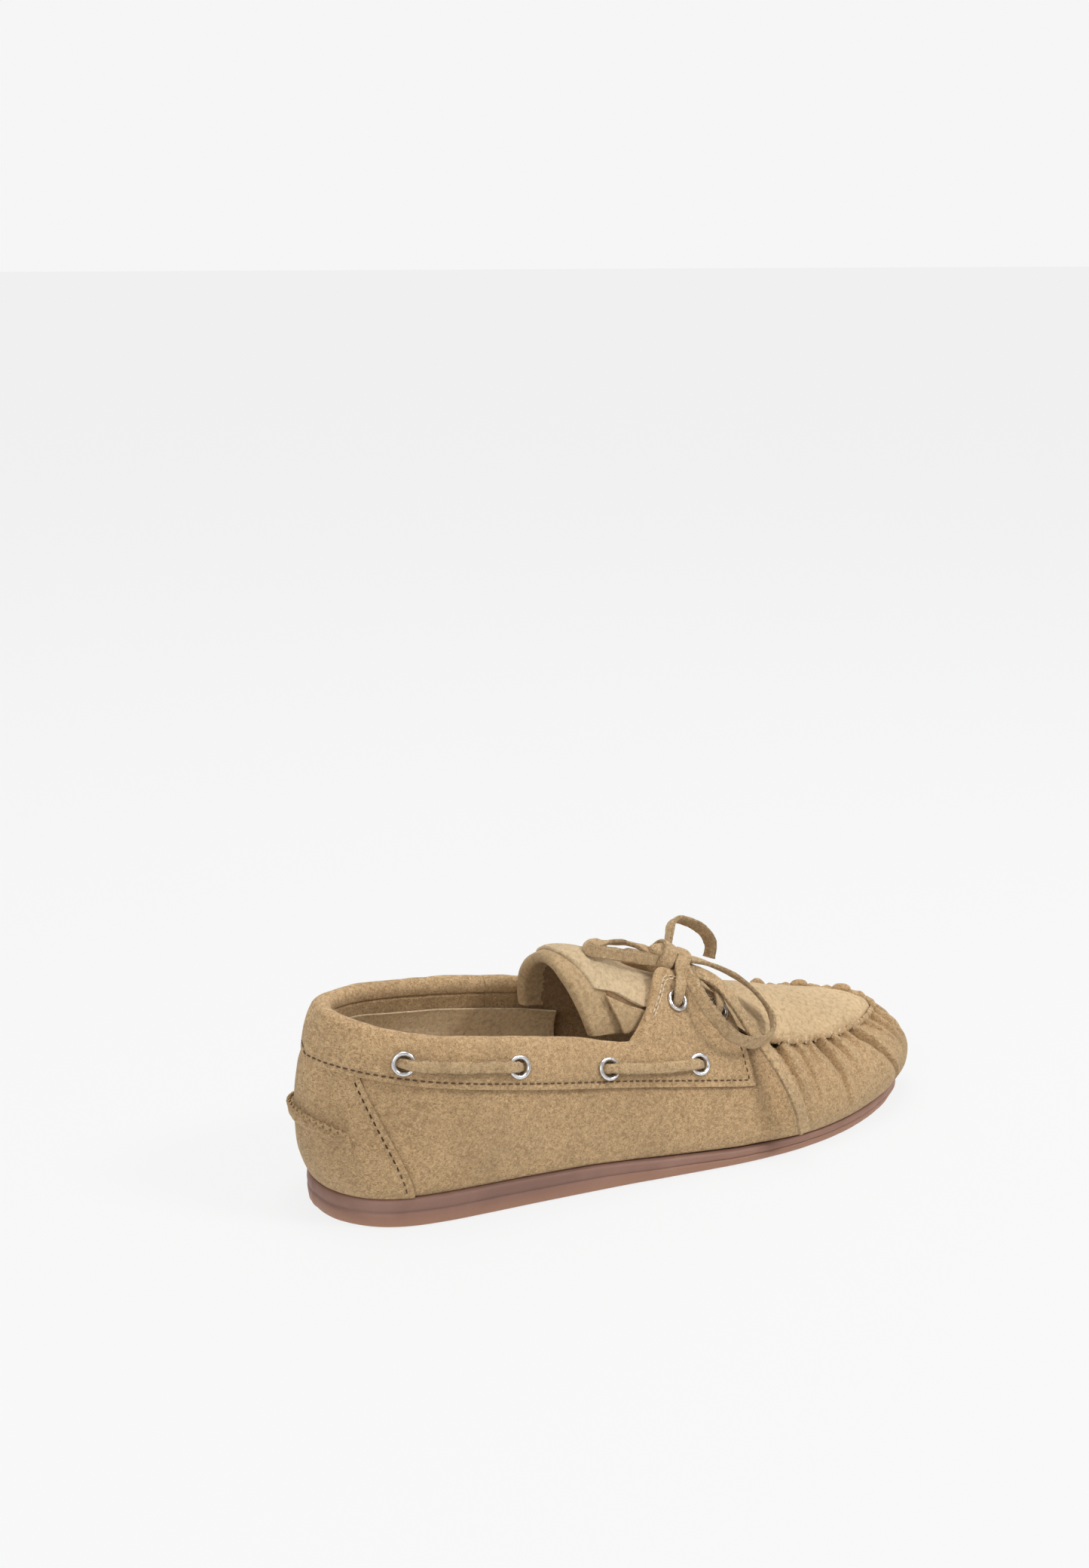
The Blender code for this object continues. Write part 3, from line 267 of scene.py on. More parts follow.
def shell(name, outer, inner, mats, ring_closed=False, edge_mat=0, inner_mat=0):
    """A closed leather between two point grids, (columns, rows, 3)."""
    outer, inner = np.asarray(outer, float), np.asarray(inner, float)
    m, n = outer.shape[:2]
    count = m * n
    points = np.vstack([outer.reshape(-1, 3), inner.reshape(-1, 3)])
    faces, fm = [], []
    for i in range(m if ring_closed else m - 1):
        a, b = i * n, (i + 1) % m * n
        for j in range(n - 1):
            faces.append((a + j, b + j, b + j + 1, a + j + 1))
            faces.append((count + a + j, count + a + j + 1, count + b + j + 1, count + b + j))
            fm += [0, inner_mat]
        faces.append((a, count + a, count + b, b))
        faces.append((a + n - 1, b + n - 1, count + b + n - 1, count + a + n - 1))
        fm += [edge_mat, edge_mat]
    if not ring_closed:
        for a in (0, (m - 1) * n):
            for j in range(n - 1):
                faces.append((a + j, a + j + 1, count + a + j + 1, count + a + j))
                fm.append(edge_mat)
    return to_mesh(name, points, faces, mats, fm)


def rounded_shell(name, outer, normals, thick, mats, steps=3, edge=None, **kw):
    """A shell whose long edges and ends are rounded: its borders pull in over the first rows of points."""
    outer = np.asarray(outer, float)
    m, n = outer.shape[:2]
    thick = np.broadcast_to(np.asarray(thick, float), (m, n))
    edge = thick.max() * 0.5 if edge is None else edge
    cols = unit(np.gradient(outer, axis=0))
    du = np.r_[0, np.cumsum(np.linalg.norm(np.diff(outer[:, n // 2], axis=0), axis=1))]
    dv = np.cumsum(np.linalg.norm(np.diff(outer, axis=1), axis=2), axis=1)
    dv = np.concatenate([np.zeros((m, 1)), dv], 1)
    near = np.minimum(dv, dv[:, -1:] - dv)
    if kw.get("ends", True):
        near = np.minimum(near, np.minimum(du, du[-1] - du)[:, None])
    kw.pop("ends", None)
    pull = edge - np.sqrt(np.maximum(edge**2 - np.maximum(edge - near, 0) ** 2, 0))
    pull = np.minimum(pull, thick * 0.42)
    return shell(name, outer - normals * pull[..., None], outer - normals * (thick - pull)[..., None], mats, **kw)


def strap(name, points, ups, widths, thick, mat, sides=12, curl=0.0):
    """A flat lace: a rounded strip along points, its face turned to ups."""
    points, ups = np.asarray(points, float), np.asarray(ups, float)
    m = len(points)
    widths = np.broadcast_to(np.asarray(widths, float), (m,))
    along = unit(np.gradient(points, axis=0))
    ups = unit(ups - along * np.sum(ups * along, 1, keepdims=True))
    side = np.cross(along, ups)
    t = np.linspace(0, 2 * math.pi, sides, endpoint=False) + math.pi / sides
    cs, sn = np.cos(t), np.sin(t)
    xs, ys = np.sign(cs) * np.abs(cs) ** 0.35, np.sign(sn) * np.abs(sn) ** 0.55
    rings = points[:, None] + side[:, None] * (xs[None, :, None] * widths[:, None, None] / 2) + ups[:, None] * (
        (ys * thick / 2)[None, :, None] + curl * (xs**2)[None, :, None])
    faces = []
    for i in range(m - 1):
        for j in range(sides):
            k = (j + 1) % sides
            faces.append((i * sides + j, i * sides + k, (i + 1) * sides + k, (i + 1) * sides + j))
    faces += [tuple(range(sides))[::-1], tuple((m - 1) * sides + j for j in range(sides))]
    return to_mesh(name, rings.reshape(-1, 3), faces, mat)


def tube_rings(points, radii, ups=None, sides=8):
    points = np.asarray(points, float)
    along = unit(np.gradient(points, axis=0))
    ref = np.array([0, 0, 1.0]) if ups is None else np.asarray(ups, float)
    ref = np.broadcast_to(ref, points.shape)
    u = unit(ref - along * np.sum(ref * along, 1, keepdims=True))
    s = np.cross(along, u)
    t = np.linspace(0, 2 * math.pi, sides, endpoint=False)
    r = np.broadcast_to(np.asarray(radii, float).reshape(len(points), -1) if np.ndim(radii) else radii, (len(points), sides))
    return points[:, None] + r[..., None] * (u[:, None] * np.cos(t)[None, :, None] + s[:, None] * np.sin(t)[None, :, None])


def tube_faces(m, sides, base=0):
    faces = [(base + i * sides + j, base + i * sides + (j + 1) % sides, base + (i + 1) * sides + (j + 1) % sides, base + (i + 1) * sides + j)
             for i in range(m - 1) for j in range(sides)]
    return faces + [tuple(base + j for j in range(sides))[::-1], tuple(base + (m - 1) * sides + j for j in range(sides))]


def many_tubes(name, runs, mat, sides=6):
    """Many short tubes in one piece. Each run is (points, radii, ups)."""
    points, faces = [], []
    for p, r, u in runs:
        rings = tube_rings(p, r, u, sides)
        faces += tube_faces(len(p), sides, len(points) and sum(len(q) for q in points))
        points.append(rings.reshape(-1, 3))
    return to_mesh(name, np.vstack(points), faces, mat)


def stitch_runs(path, normals, length=2.6, gap=0.9, radius=0.32, proud=0.25, jitter=0.12):
    """Stitches along a path on the leather: each rises out of its hole, lies flat, and dips in again."""
    path, normals = np.asarray(path, float), np.asarray(normals, float)
    s = np.r_[0, np.cumsum(np.linalg.norm(np.diff(path, axis=0), axis=1))]
    pick = lambda q, g: np.stack([np.interp(q, s, g[:, k]) for k in range(3)], -1)
    runs, at = [], 0.4
    while at + length < s[-1]:
        q = at + length * np.array([0, 0.14, 0.35, 0.65, 0.86, 1.0])
        p, n = pick(q, path), unit(pick(q, normals))
        lift = np.array([-0.5, 0.55, 1.0, 1.0, 0.55, -0.5]) * proud
        side = unit(np.cross(n[0], p[-1] - p[0]))
        slant = (rng.random() - 0.5) * jitter
        runs.append((p + n * lift[:, None] + side * (np.linspace(-1, 1, 6) * slant)[:, None], np.array([0.6, 0.95, 1, 1, 0.95, 0.6]) * radius, n))
        at += length + gap
    return runs


# ------------------------------------------------------------------ materials
def nodes_of(name):
    mat = bpy.data.materials.new(name)
    mat.use_nodes = True
    nt = mat.node_tree
    return mat, nt, nt.nodes["Principled BSDF"]


def node(nt, kind, **props):
    made = nt.nodes.new(kind)
    for k, v in props.items():
        if k in made.inputs:
            made.inputs[k].default_value = v
        else:
            setattr(made, k, v)
    return made


def ramp(nt, fac, stops):
    made = nt.nodes.new("ShaderNodeValToRGB")
    while len(made.color_ramp.elements) < len(stops):
        made.color_ramp.elements.new(0.5)
    for e, (pos, col) in zip(made.color_ramp.elements, stops):
        e.position, e.color = pos, (*col, 1)
    nt.links.new(fac, made.inputs["Fac"])
    return made.outputs["Color"]


def mix(nt, a, b, fac, mode="MIX"):
    made = nt.nodes.new("ShaderNodeMix")
    made.data_type, made.blend_type = "RGBA", mode
    for sock, value in (("Factor", fac), ("A", a), ("B", b)):
        target = [i for i in made.inputs if i.name == sock and i.enabled and (sock == "Factor" or i.type == "RGBA")][0]
        if hasattr(value, "links") or isinstance(value, bpy.types.NodeSocket):
            nt.links.new(value, target)
        else:
            target.default_value = value if sock == "Factor" else (*value, 1)
    return [o for o in made.outputs if o.type == "RGBA" and o.enabled][0]


def suede(name, light, dark, speck=0.55, sheen=0.35, nap=0.00035, blotch=1.0):
    """Napped leather: broad brushed patches, a mottled middle scale, and short dark fibres with a raised nap."""
    mat, nt, bsdf = nodes_of(name)
    co = node(nt, "ShaderNodeTexCoord").outputs["Object"]
    broad = node(nt, "ShaderNodeTexNoise", Scale=34.0, Detail=3.0, Roughness=0.55, Distortion=0.6)
    mid_n = node(nt, "ShaderNodeTexNoise", Scale=620.0, Detail=4.0, Roughness=0.6, Distortion=0.4)
    stretch = node(nt, "ShaderNodeMapping")
    stretch.inputs["Rotation"].default_value = (0.35, 0.6, 0.5)
    stretch.inputs["Scale"].default_value = (1.0, 0.55, 1.25)
    fine = node(nt, "ShaderNodeTexNoise", Scale=1500.0, Detail=3.0, Roughness=0.7, Distortion=1.2)
    tiny = node(nt, "ShaderNodeTexNoise", Scale=3600.0, Detail=2.0, Roughness=0.6)
    nt.links.new(co, stretch.inputs["Vector"])
    for n in (broad, mid_n):
        nt.links.new(co, n.inputs["Vector"])
    for n in (fine, tiny):
        nt.links.new(stretch.outputs["Vector"], n.inputs["Vector"])
    light, dark = np.array(light), np.array(dark)
    base = ramp(nt, broad.outputs["Fac"], [(0.32, tuple(light * (1 - 0.14 * blotch))), (0.5, tuple(light)), (0.68, tuple(light * (1 + 0.1 * blotch)))])
    mott = ramp(nt, mid_n.outputs["Fac"], [(0.34, (0.76, 0.74, 0.70)), (0.5, (1, 1, 1)), (0.66, (1.14, 1.14, 1.15))])
    col = mix(nt, base, mott, 1.0, "MULTIPLY")
    fibre = ramp(nt, fine.outputs["Fac"], [(0.36, (1, 1, 1)), (0.5, (0.3, 0.3, 0.3)), (0.62, (0, 0, 0))])
    fac = nt.nodes.new("ShaderNodeMath")
    fac.operation = "MULTIPLY"
    nt.links.new(fibre, fac.inputs[0])
    fac.inputs[1].default_value = speck
    col = mix(nt, col, tuple(dark), fac.outputs[0])
    nt.links.new(col, bsdf.inputs["Base Color"])
    bump_a = node(nt, "ShaderNodeBump", Strength=0.9, Distance=nap * 1.6)
    bump_b = node(nt, "ShaderNodeBump", Strength=0.5, Distance=nap * 0.45)
    bump_c = node(nt, "ShaderNodeBump", Strength=0.5, Distance=0.0012)
    nt.links.new(mid_n.outputs["Fac"], bump_c.inputs["Height"])
    nt.links.new(bump_c.outputs["Normal"], bump_a.inputs["Normal"])
    nt.links.new(fine.outputs["Fac"], bump_a.inputs["Height"])
    nt.links.new(bump_a.outputs["Normal"], bump_b.inputs["Normal"])
    nt.links.new(tiny.outputs["Fac"], bump_b.inputs["Height"])
    nt.links.new(bump_b.outputs["Normal"], bsdf.inputs["Normal"])
    bsdf.inputs["Roughness"].default_value = 0.93
    bsdf.inputs["Specular IOR Level"].default_value = 0.18
    bsdf.inputs["Sheen Weight"].default_value = sheen
    bsdf.inputs["Sheen Roughness"].default_value = 0.45
    bsdf.inputs["Sheen Tint"].default_value = (0.95, 0.82, 0.62, 1)
    return mat


def rubber(name):
    mat, nt, bsdf = nodes_of(name)
    co = node(nt, "ShaderNodeTexCoord").outputs["Object"]
    broad = node(nt, "ShaderNodeTexNoise", Scale=26.0, Detail=4.0, Roughness=0.6, Distortion=0.9)
    fine = node(nt, "ShaderNodeTexNoise", Scale=900.0, Detail=3.0)
    sep = node(nt, "ShaderNodeSeparateXYZ")
    for n in (broad.inputs["Vector"], fine.inputs["Vector"], sep.inputs["Vector"]):
        nt.links.new(co, n)
    col = ramp(nt, broad.outputs["Fac"], [(0.3, (0.190, 0.098, 0.072)), (0.5, (0.235, 0.124, 0.090)), (0.7, (0.290, 0.160, 0.116))])
    rng_n = nt.nodes.new("ShaderNodeMapRange")
    rng_n.inputs["From Min"].default_value, rng_n.inputs["From Max"].default_value = 0.0, 0.006
    nt.links.new(sep.outputs["Z"], rng_n.inputs["Value"])
    col2 = mix(nt, (0.36, 0.18, 0.105), col, rng_n.outputs["Result"])
    nt.links.new(col2, bsdf.inputs["Base Color"])
    rough = ramp(nt, fine.outputs["Fac"], [(0.3, (0.5, 0.5, 0.5)), (0.7, (0.62, 0.62, 0.62))])
    nt.links.new(rough, bsdf.inputs["Roughness"])
    bump = node(nt, "ShaderNodeBump", Strength=0.25, Distance=0.0002)
    nt.links.new(fine.outputs["Fac"], bump.inputs["Height"])
    nt.links.new(bump.outputs["Normal"], bsdf.inputs["Normal"])
    bsdf.inputs["Subsurface Weight"].default_value = 0.12
    bsdf.inputs["Subsurface Radius"].default_value = (0.004, 0.002, 0.001)
    return mat


def thread_mat(name, colour):
    mat, nt, bsdf = nodes_of(name)
    co = node(nt, "ShaderNodeTexCoord").outputs["Object"]
    wave = node(nt, "ShaderNodeTexWave", Scale=900.0, Distortion=1.5, Detail=1.0)
    nt.links.new(co, wave.inputs["Vector"])
    c = np.array(colour)
    nt.links.new(ramp(nt, wave.outputs["Fac"], [(0.2, tuple(c * 0.7)), (0.8, tuple(c))]), bsdf.inputs["Base Color"])
    bump = node(nt, "ShaderNodeBump", Strength=0.4, Distance=0.0001)
    nt.links.new(wave.outputs["Fac"], bump.inputs["Height"])
    nt.links.new(bump.outputs["Normal"], bsdf.inputs["Normal"])
    bsdf.inputs["Roughness"].default_value = 0.75
    return mat


def metal(name):
    mat, nt, bsdf = nodes_of(name)
    co = node(nt, "ShaderNodeTexCoord").outputs["Object"]
    fine = node(nt, "ShaderNodeTexNoise", Scale=700.0, Detail=3.0)
    nt.links.new(co, fine.inputs["Vector"])
    nt.links.new(ramp(nt, fine.outputs["Fac"], [(0.3, (0.66, 0.66, 0.68)), (0.7, (0.82, 0.82, 0.83))]), bsdf.inputs["Base Color"])
    nt.links.new(ramp(nt, fine.outputs["Fac"], [(0.3, (0.16, 0.16, 0.16)), (0.7, (0.3, 0.3, 0.3))]), bsdf.inputs["Roughness"])
    bsdf.inputs["Metallic"].default_value = 1.0
    return mat


SUEDE = suede("suede_tan_visual", (0.630, 0.428, 0.232), (0.23, 0.13, 0.05), speck=0.85)
# A lighter, less speckled copy of the tan suede for the apron on top of the shoe: painted top light, not a different
# finish.
SUEDE_TOP_LIT = suede("suede_tan_painted_top_light", (0.640, 0.465, 0.270), (0.36, 0.23, 0.11), speck=0.28, nap=0.0002, blotch=0.8)
LINING = suede("suede_lining_visual", (0.86, 0.67, 0.43), (0.50, 0.34, 0.19), speck=0.35)
# A dark brown suede used as painted shade: it colours the tongue's lining, seen in shadow under the tongue, and the
# shadowed gap under the overlay's notch.
PAINTED_SHADE_UNDER = suede("suede_painted_shade_underside", (0.34, 0.205, 0.10), (0.14, 0.075, 0.035), speck=0.6)
EDGE = suede("suede_cut_edge", (0.47, 0.31, 0.155), (0.16, 0.085, 0.035), speck=0.75, nap=0.0005)
LACE_EDGE = suede("lace_cut_edge", (0.56, 0.39, 0.21), (0.13, 0.07, 0.03), speck=0.85, nap=0.0006)
LACE = suede("lace_visual", (0.66, 0.46, 0.255), (0.20, 0.11, 0.045), speck=0.65, nap=0.0005)
RUBBER = rubber("gum_rubber_visual")
THREAD_DARK = thread_mat("thread_dark", (0.105, 0.055, 0.024))
THREAD_TAN = thread_mat("thread_tan", (0.42, 0.28, 0.14))
THREAD_PALE = thread_mat("thread_pale", (0.74, 0.60, 0.42))
METAL = metal("nickel_visual")

done = set()


def put(piece, body, *cad, slot=None):
    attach(piece, body)
    new = [n for n in cad if n not in done]
    if new:
        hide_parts(*new)
        done.update(new)
    return piece

# ------------------------------------------------------------------ helpers for worn, soft surfaces
_k = rng.normal(size=(3, 10, 3))
_k = _k / np.linalg.norm(_k, axis=2, keepdims=True)
_ph = rng.random((3, 10)) * 6.283


def lumps(p, scale, layer=0):
    """A smooth random value near -1..1 at each point, varying over about `scale` mm."""
    p = np.asarray(p, float)
    out = np.zeros(p.shape[:-1])
    for i in range(10):
        out += np.sin(p @ _k[layer, i] * (6.283 / scale) * (0.7 + 0.06 * i) + _ph[layer, i])
    return out / 3.2


def arc(p):
    return np.r_[0, np.cumsum(np.linalg.norm(np.diff(p, axis=0), axis=1))]


def resample(p, n, start=0.0, end=None):
    """n + 1 points evenly along p between two arc lengths."""
    s = arc(p)
    q = np.linspace(start, s[-1] if end is None else end, n + 1)
    return np.stack([np.interp(q, s, p[:, k]) for k in range(3)], -1)


def cross_normals(g):
    return unit(np.cross(np.gradient(g, axis=1), np.gradient(g, axis=0)))


def folded(name, path, n, thick, leg, leather, mats, offset=None, fringe=0.0, leg_points=26, dimples=(), crease=0.0):
    """Leather that runs along path (columns, points, 3), turns over in a roll of the given thickness, and comes back inside by leg."""
    m, count = path.shape[:2]
    thick, leg = np.broadcast_to(thick, (m,)), np.broadcast_to(leg, (m,))
    off = np.zeros((m, count)) if offset is None else offset
    outer, inner = [], []
    turn = np.radians(np.linspace(0, 180, 13))[1:]
    for i in range(m):
        p, nn, th = path[i], n[i], thick[i]
        up = unit(p[-1] - p[-3])
        up = unit(up - nn[-1] * np.dot(up, nn[-1]))
        mid_p = p[-1] - nn[-1] * th / 2
        o = [p + nn * off[i][:, None]]
        q = [p + nn * (off[i] * 0.6 - leather)[:, None]]
        d = nn[-1] * np.cos(turn)[:, None] + up * np.sin(turn)[:, None]
        fade = (off[i][-1] * np.cos(turn / 2))[:, None]
        o.append(mid_p + d * (th / 2 + fade))
        q.append(mid_p + d * (max(th / 2 - leather, 0.08)))
        s = arc(p)
        back_to = np.linspace(s[-1], max(s[-1] - leg[i] - (fringe * (rng.random() - 0.5) if fringe else 0), 0.0), leg_points + 1)[1:]
        bp = np.stack([np.interp(back_to, s, p[:, k]) for k in range(3)], -1)
        bn = unit(np.stack([np.interp(back_to, s, nn[:, k]) for k in range(3)], -1))
        cr = crease * float(th > 6.0) * np.exp(-(((s[-1] - back_to - 1.6) / 0.55) ** 2))[:, None]
        o.append(bp - bn * (th - cr))
        q.append(bp - bn * (th - min(leather, th / 2 - 0.08)))
        outer.append(np.vstack(o))
        inner.append(np.vstack(q))
    outer, inner = np.array(outer), np.array(inner)
    for p, nn, r, deep in dimples:
        for g in (outer, inner):
            d = g - p
            h = d @ nn
            rad = np.linalg.norm(d - h[..., None] * nn, axis=-1)
            w = (1 - smoothstep(rad, r * 0.88, r * 1.04)) * (np.abs(h) < 2.4)
            soft = 0.35 * np.exp(-(((rad - r - 1.6) / 1.6) ** 2)) * (np.abs(h) < 2.4)
            g -= (w * deep + soft)[..., None] * nn
    return shell(name, outer, inner, mats, edge_mat=min(1, len(mats) - 1) if isinstance(mats, list) else 0), outer


# ------------------------------------------------------------------ sole unit
def outline_at(inset, n=520):
    lat = smooth_path(SOLE_LATERAL, n // 2)
    med = smooth_path(SOLE_MEDIAL, n // 2)[::-1]
    loop = np.vstack([lat[:-1], med[:-1]])
    g = unit(blur(np.roll(loop, -2, 0) - np.roll(loop, 2, 0), 6, closed=True))
    inset = np.broadcast_to(np.asarray(inset, float), (len(loop),))
    return loop - np.stack([g[:, 1], -g[:, 0]], -1) * inset[:, None]


def loops_solid(name, loops, mat):
    loops = np.asarray(loops, float)
    m, n = loops.shape[:2]
    faces = [(i * n + j, i * n + (j + 1) % n, (i + 1) * n + (j + 1) % n, (i + 1) * n + j) for i in range(m - 1) for j in range(n)]
    half = n // 2
    for base in (0, (m - 1) * n):
        faces.append(tuple(base + k for k in (0, 1, n - 1)))
        faces += [tuple(base + k for k in (j, j + 1, n - j - 1, n - j)) for j in range(1, half - 1)]
        faces.append(tuple(base + k for k in (half - 1, half, half + 1)))
    return to_mesh(name, loops.reshape(-1, 3), faces, mat)


edge0 = outline_at(0.0)
wall = table(edge0[:, 0], SOLE_WALL)
wob = 0.14 * lumps(np.c_[edge0, np.zeros(len(edge0))], 17) + 0.06 * lumps(np.c_[edge0, np.zeros(len(edge0))], 5, 1)
flat = lambda inset, z: np.c_[outline_at(inset), np.broadcast_to(z, (len(edge0),))]
prof = [(7.0, 0.0, 0), (2.6, 0.0, 0), (1.5, 0.22, 0), (0.85, 0.6, 0.5), (0.4, 1.2, 1)]
prof += [(0.12, 0.30, 2), (0.0, 0.42, 2), (0.04, 0.50, 2), (0.42, 0.54, 2), (0.55, 0.57, 2), (0.42, 0.60, 2), (0.02, 0.64, 2), (-0.05, 0.74, 2), (0.02, 0.86, 2), (0.3, 0.95, 2), (0.8, 1.0, 2)]
loops = []
for inset, z, kind in prof:
    if kind == 2:
        loops.append(flat(inset + wob, wall * z))
    else:
        loops.append(flat(inset + wob * kind, np.full(len(wall), z)))
loops += [flat(2.6, wall + 0.02), flat(2.9, wall - 3.4)]
sole = put(loops_solid("visual_outsole", loops, RUBBER), "shoe", "outsole", slot="gum_rubber")
floor_z = wall - 3.4
BOARD = suede("board_visual", (0.42, 0.34, 0.24), (0.28, 0.2, 0.12), speck=0.3, sheen=0.0)
FOAM = suede("foam_visual", (0.76, 0.70, 0.56), (0.6, 0.52, 0.38), speck=0.25, sheen=0.0)
put(loops_solid("visual_insole_board", [flat(5.4, floor_z + 0.3), flat(5.2, floor_z + 1.2), flat(5.4, floor_z + 2.1)], BOARD), "shoe", "insole_board", slot="insole_board")
liner = [flat(6.4, floor_z + 2.4), flat(6.0, floor_z + 3.5), flat(6.5, floor_z + 4.5), flat(9.0, floor_z + 4.65)]
put(loops_solid("visual_sock_liner", liner, LINING), "shoe", "sock_liner", slot="suede_lining")

# ------------------------------------------------------------------ upper: body leather
BEHIND = 2.7
DEPTH_ROWS = [0, 3.7, 4.15, 4.9, 7.0]
ease = lambda s: np.clip((s - FRONT) / 2.0, 0, 1)

NEAR = [(9.35, 6.95, 9.2, 3.6, 1.9), (8.55, 6.95, 8.5, 3.0, 1.3), (7.93, 6.95, 8.1, 4.9, 0.9), (7.23, 6.95, 7.01, 2.2, 2.5), (6.26, 6.95, 6.11, 3.8, 1.8),
        (5.2, 6.95, 5.0, 4.8, 0.9), (4.15, 6.9, 2.83, 1.9, 2.6), (2.85, 6.95, 2.2, 4.4, 1.1), (1.75, 6.95, 1.80, 3.6, 1.7),
        (0.95, 6.95, 1.13, 3.2, 1.5), (0.15, 6.95, 0.1, 3.0, 1.8)]
FAR = []
top_line = surf(np.linspace(COLS - 0.8, HEEL + FRONT + 1.0, 500), TOP)
ta = arc(top_line)
a = 1.0
while a < ta[-1]:
    c = np.interp(a, ta, np.linspace(COLS - 0.8, HEEL + FRONT + 1.0, 500))
    FAR.append((c, 6.95, c + rng.normal() * 0.2, 2.6 + rng.random() * 1.6, 1.3 + 0.9 * rng.random()))
    a += 5.7 + rng.normal() * 0.35
PUCKERS = NEAR + FAR


def gathers(c, r, mm_per_col):
    out = np.zeros(c.shape)
    for c0, r0, c1, r1, deep in PUCKERS:
        t = np.clip((r0 - r) / (r0 - r1), -0.2, 1.3)
        line = c0 + (c1 - c0) * t
        d = np.mod(c - line + COLS / 2, COLS) - COLS / 2
        d = d * mm_per_col
        fade = np.clip(1.0 - np.clip(t, 0, 1.25) / 1.25, 0, 1) ** 0.9
        x = d if c0 < 27 else -d
        x = x - 0.25
        out += 1.45 * fade * deep * (-np.exp(-np.clip(x, 0, None) / 2.3) * smoothstep(x, -0.75, 0.35) + 0.38 * np.exp(-(((x + 1.5) / 1.3) ** 2)) + 0.22 * np.exp(-(((x - 5.4) / 1.8) ** 2)))
    from_toe = np.abs(np.mod(c + COLS / 2, COLS) - COLS / 2)
    return np.maximum(out, -0.9 - 2.7 * smoothstep(from_toe, 0.8, 3.0) - 1.2 * smoothstep(-r, -6.2, -5.4))


def body_leather(name, cols, top_of, lift, mats, undulate=0.35, rows=72, gather=True, thick=1.1, low=0.0):
    c = np.asarray(cols, float)[:, None]
    s, _ = station(c)
    top = top_of(s)
    r = low + (top - low) * np.linspace(0, 1, rows)[None, :]
    cc, ss = np.broadcast_to(c, r.shape), np.broadcast_to(s, r.shape)
    e = ease(ss)
    depth = np.interp(r, DEPTH_ROWS, [1.2, 1.2, 1.5, BEHIND, BEHIND]) * (1 - e) + 0.2 * e
    depth = depth - lift + 0.3 * np.clip(1 - r / 0.2, 0, 1) ** 2
    p0 = surf(cc, r)
    mm_per_col = np.maximum(np.linalg.norm(surf(cc + 0.25, r) - surf(cc - 0.25, r), axis=-1) * 2, 0.5)
    free_part = smoothstep(r, 0.0, 1.2) * (1 - smoothstep(r, 3.6, 4.2) * (1 - e))
    bump = undulate * lumps(p0, 34) * free_part + 0.12 * lumps(p0, 9, 1) * free_part
    if gather:
        w = smoothstep(ss, FRONT + 0.2, FRONT + 1.2)
        bump = bump + gathers(cc, r, mm_per_col) * w * smoothstep(r, 0.3, 1.5)
        near_seam = np.exp(-(((r - 7.0) / 0.45) ** 2)) * smoothstep(ss, FRONT + 1, FRONT + 3)
        bump = bump + 0.5 * near_seam
    n = norm(cc, r)
    outer = p0 - n * (depth - bump)[..., None]
    n2 = cross_normals(outer)
    if np.sum(n2 * n) < 0:
        n2 = -n2
    return outer, outer - n2 * thick, n2


def top_of(s):
    return np.where(s <= FRONT, 6.2, 6.2 + 0.8 * ease(s))


vc = np.concatenate([np.arange(HEEL + SEAM - 0.1, HEEL + FRONT, 1 / 9), np.arange(HEEL + FRONT, COLS + HEEL - FRONT, 1 / 26),
                     np.arange(COLS + HEEL - FRONT, COLS + HEEL - SEAM + 0.2, 1 / 9)])
vo, vi, vn = body_leather("vamp", vc, top_of, 0.0, SUEDE, rows=84)
put(shell("visual_vamp", vo, vi, [SUEDE, EDGE], edge_mat=1), "shoe", "vamp", slot="suede_tan")

cc = np.linspace(HEEL - 3.27, HEEL + 3.27, 150)
wob_edge = 0.012 * rng.normal(size=2)
ho, hi, hn = body_leather("heel", cc, lambda s: np.full(s.shape, 4.6), 1.0, SUEDE, undulate=0.25, rows=64, gather=False)
counter = put(shell("visual_heel_counter_cover", ho, hi, [SUEDE, EDGE], edge_mat=1), "shoe", "heel_counter_cover", slot="suede_tan")
so, si, sn = body_leather("stiffener", np.linspace(HEEL - 2.8, HEEL + 2.8, 40), lambda s: np.full(s.shape, 3.6), -1.5, BOARD, undulate=0, rows=20, gather=False, thick=0.9, low=0.3)
put(shell("visual_heel_stiffener", so, si, BOARD), "shoe", "heel_stiffener", slot="insole_board")

# ------------------------------------------------------------------ collar band with its rolled topline and facings
FACE = {False: smooth_path(FACING_LATERAL, (FRONT - BASE) * K), True: smooth_path(FACING_MEDIAL, (FRONT - BASE) * K)}
NP_ = 64


def band_path(c):
    """Up the outside of the band at station c, then up the facing where there is one. Points, and their row (TOP on a facing) and facing share."""
    s, med = station(c)
    s, med = float(s), bool(med)
    rr = np.linspace(LOW, TOP, 160)
    p = surf(np.full(160, float(c)), rr)
    tag = np.c_[rr, np.zeros(160)]
    if s > BASE:
        edge = FACE[med]
        q = min((s - BASE) * K, len(edge) - 1.001)
        f = edge[int(q)] * (1 - q % 1) + edge[int(q) + 1] * (q % 1)
        t, tan = p[-1], unit(p[-1] - p[-5])
        f = t + (f - t) * float(smoothstep(s, BASE, BASE + 1.0))
        w = np.linspace(0, 1, 140)[1:, None]
        ctrl = t + tan * np.linalg.norm(f - t) * 0.45
        p = np.vstack([p, (1 - w) ** 2 * t + 2 * (1 - w) * w * ctrl + w**2 * f])
        tag = np.vstack([tag, np.c_[np.full(139, float(TOP)), w[:, 0]]])
    a = arc(p)
    q = np.linspace(0, a[-1], NP_ + 1)
    return (np.stack([np.interp(q, a, p[:, k]) for k in range(3)], -1), np.stack([np.interp(q, a, tag[:, k]) for k in range(2)], -1), a[-1])


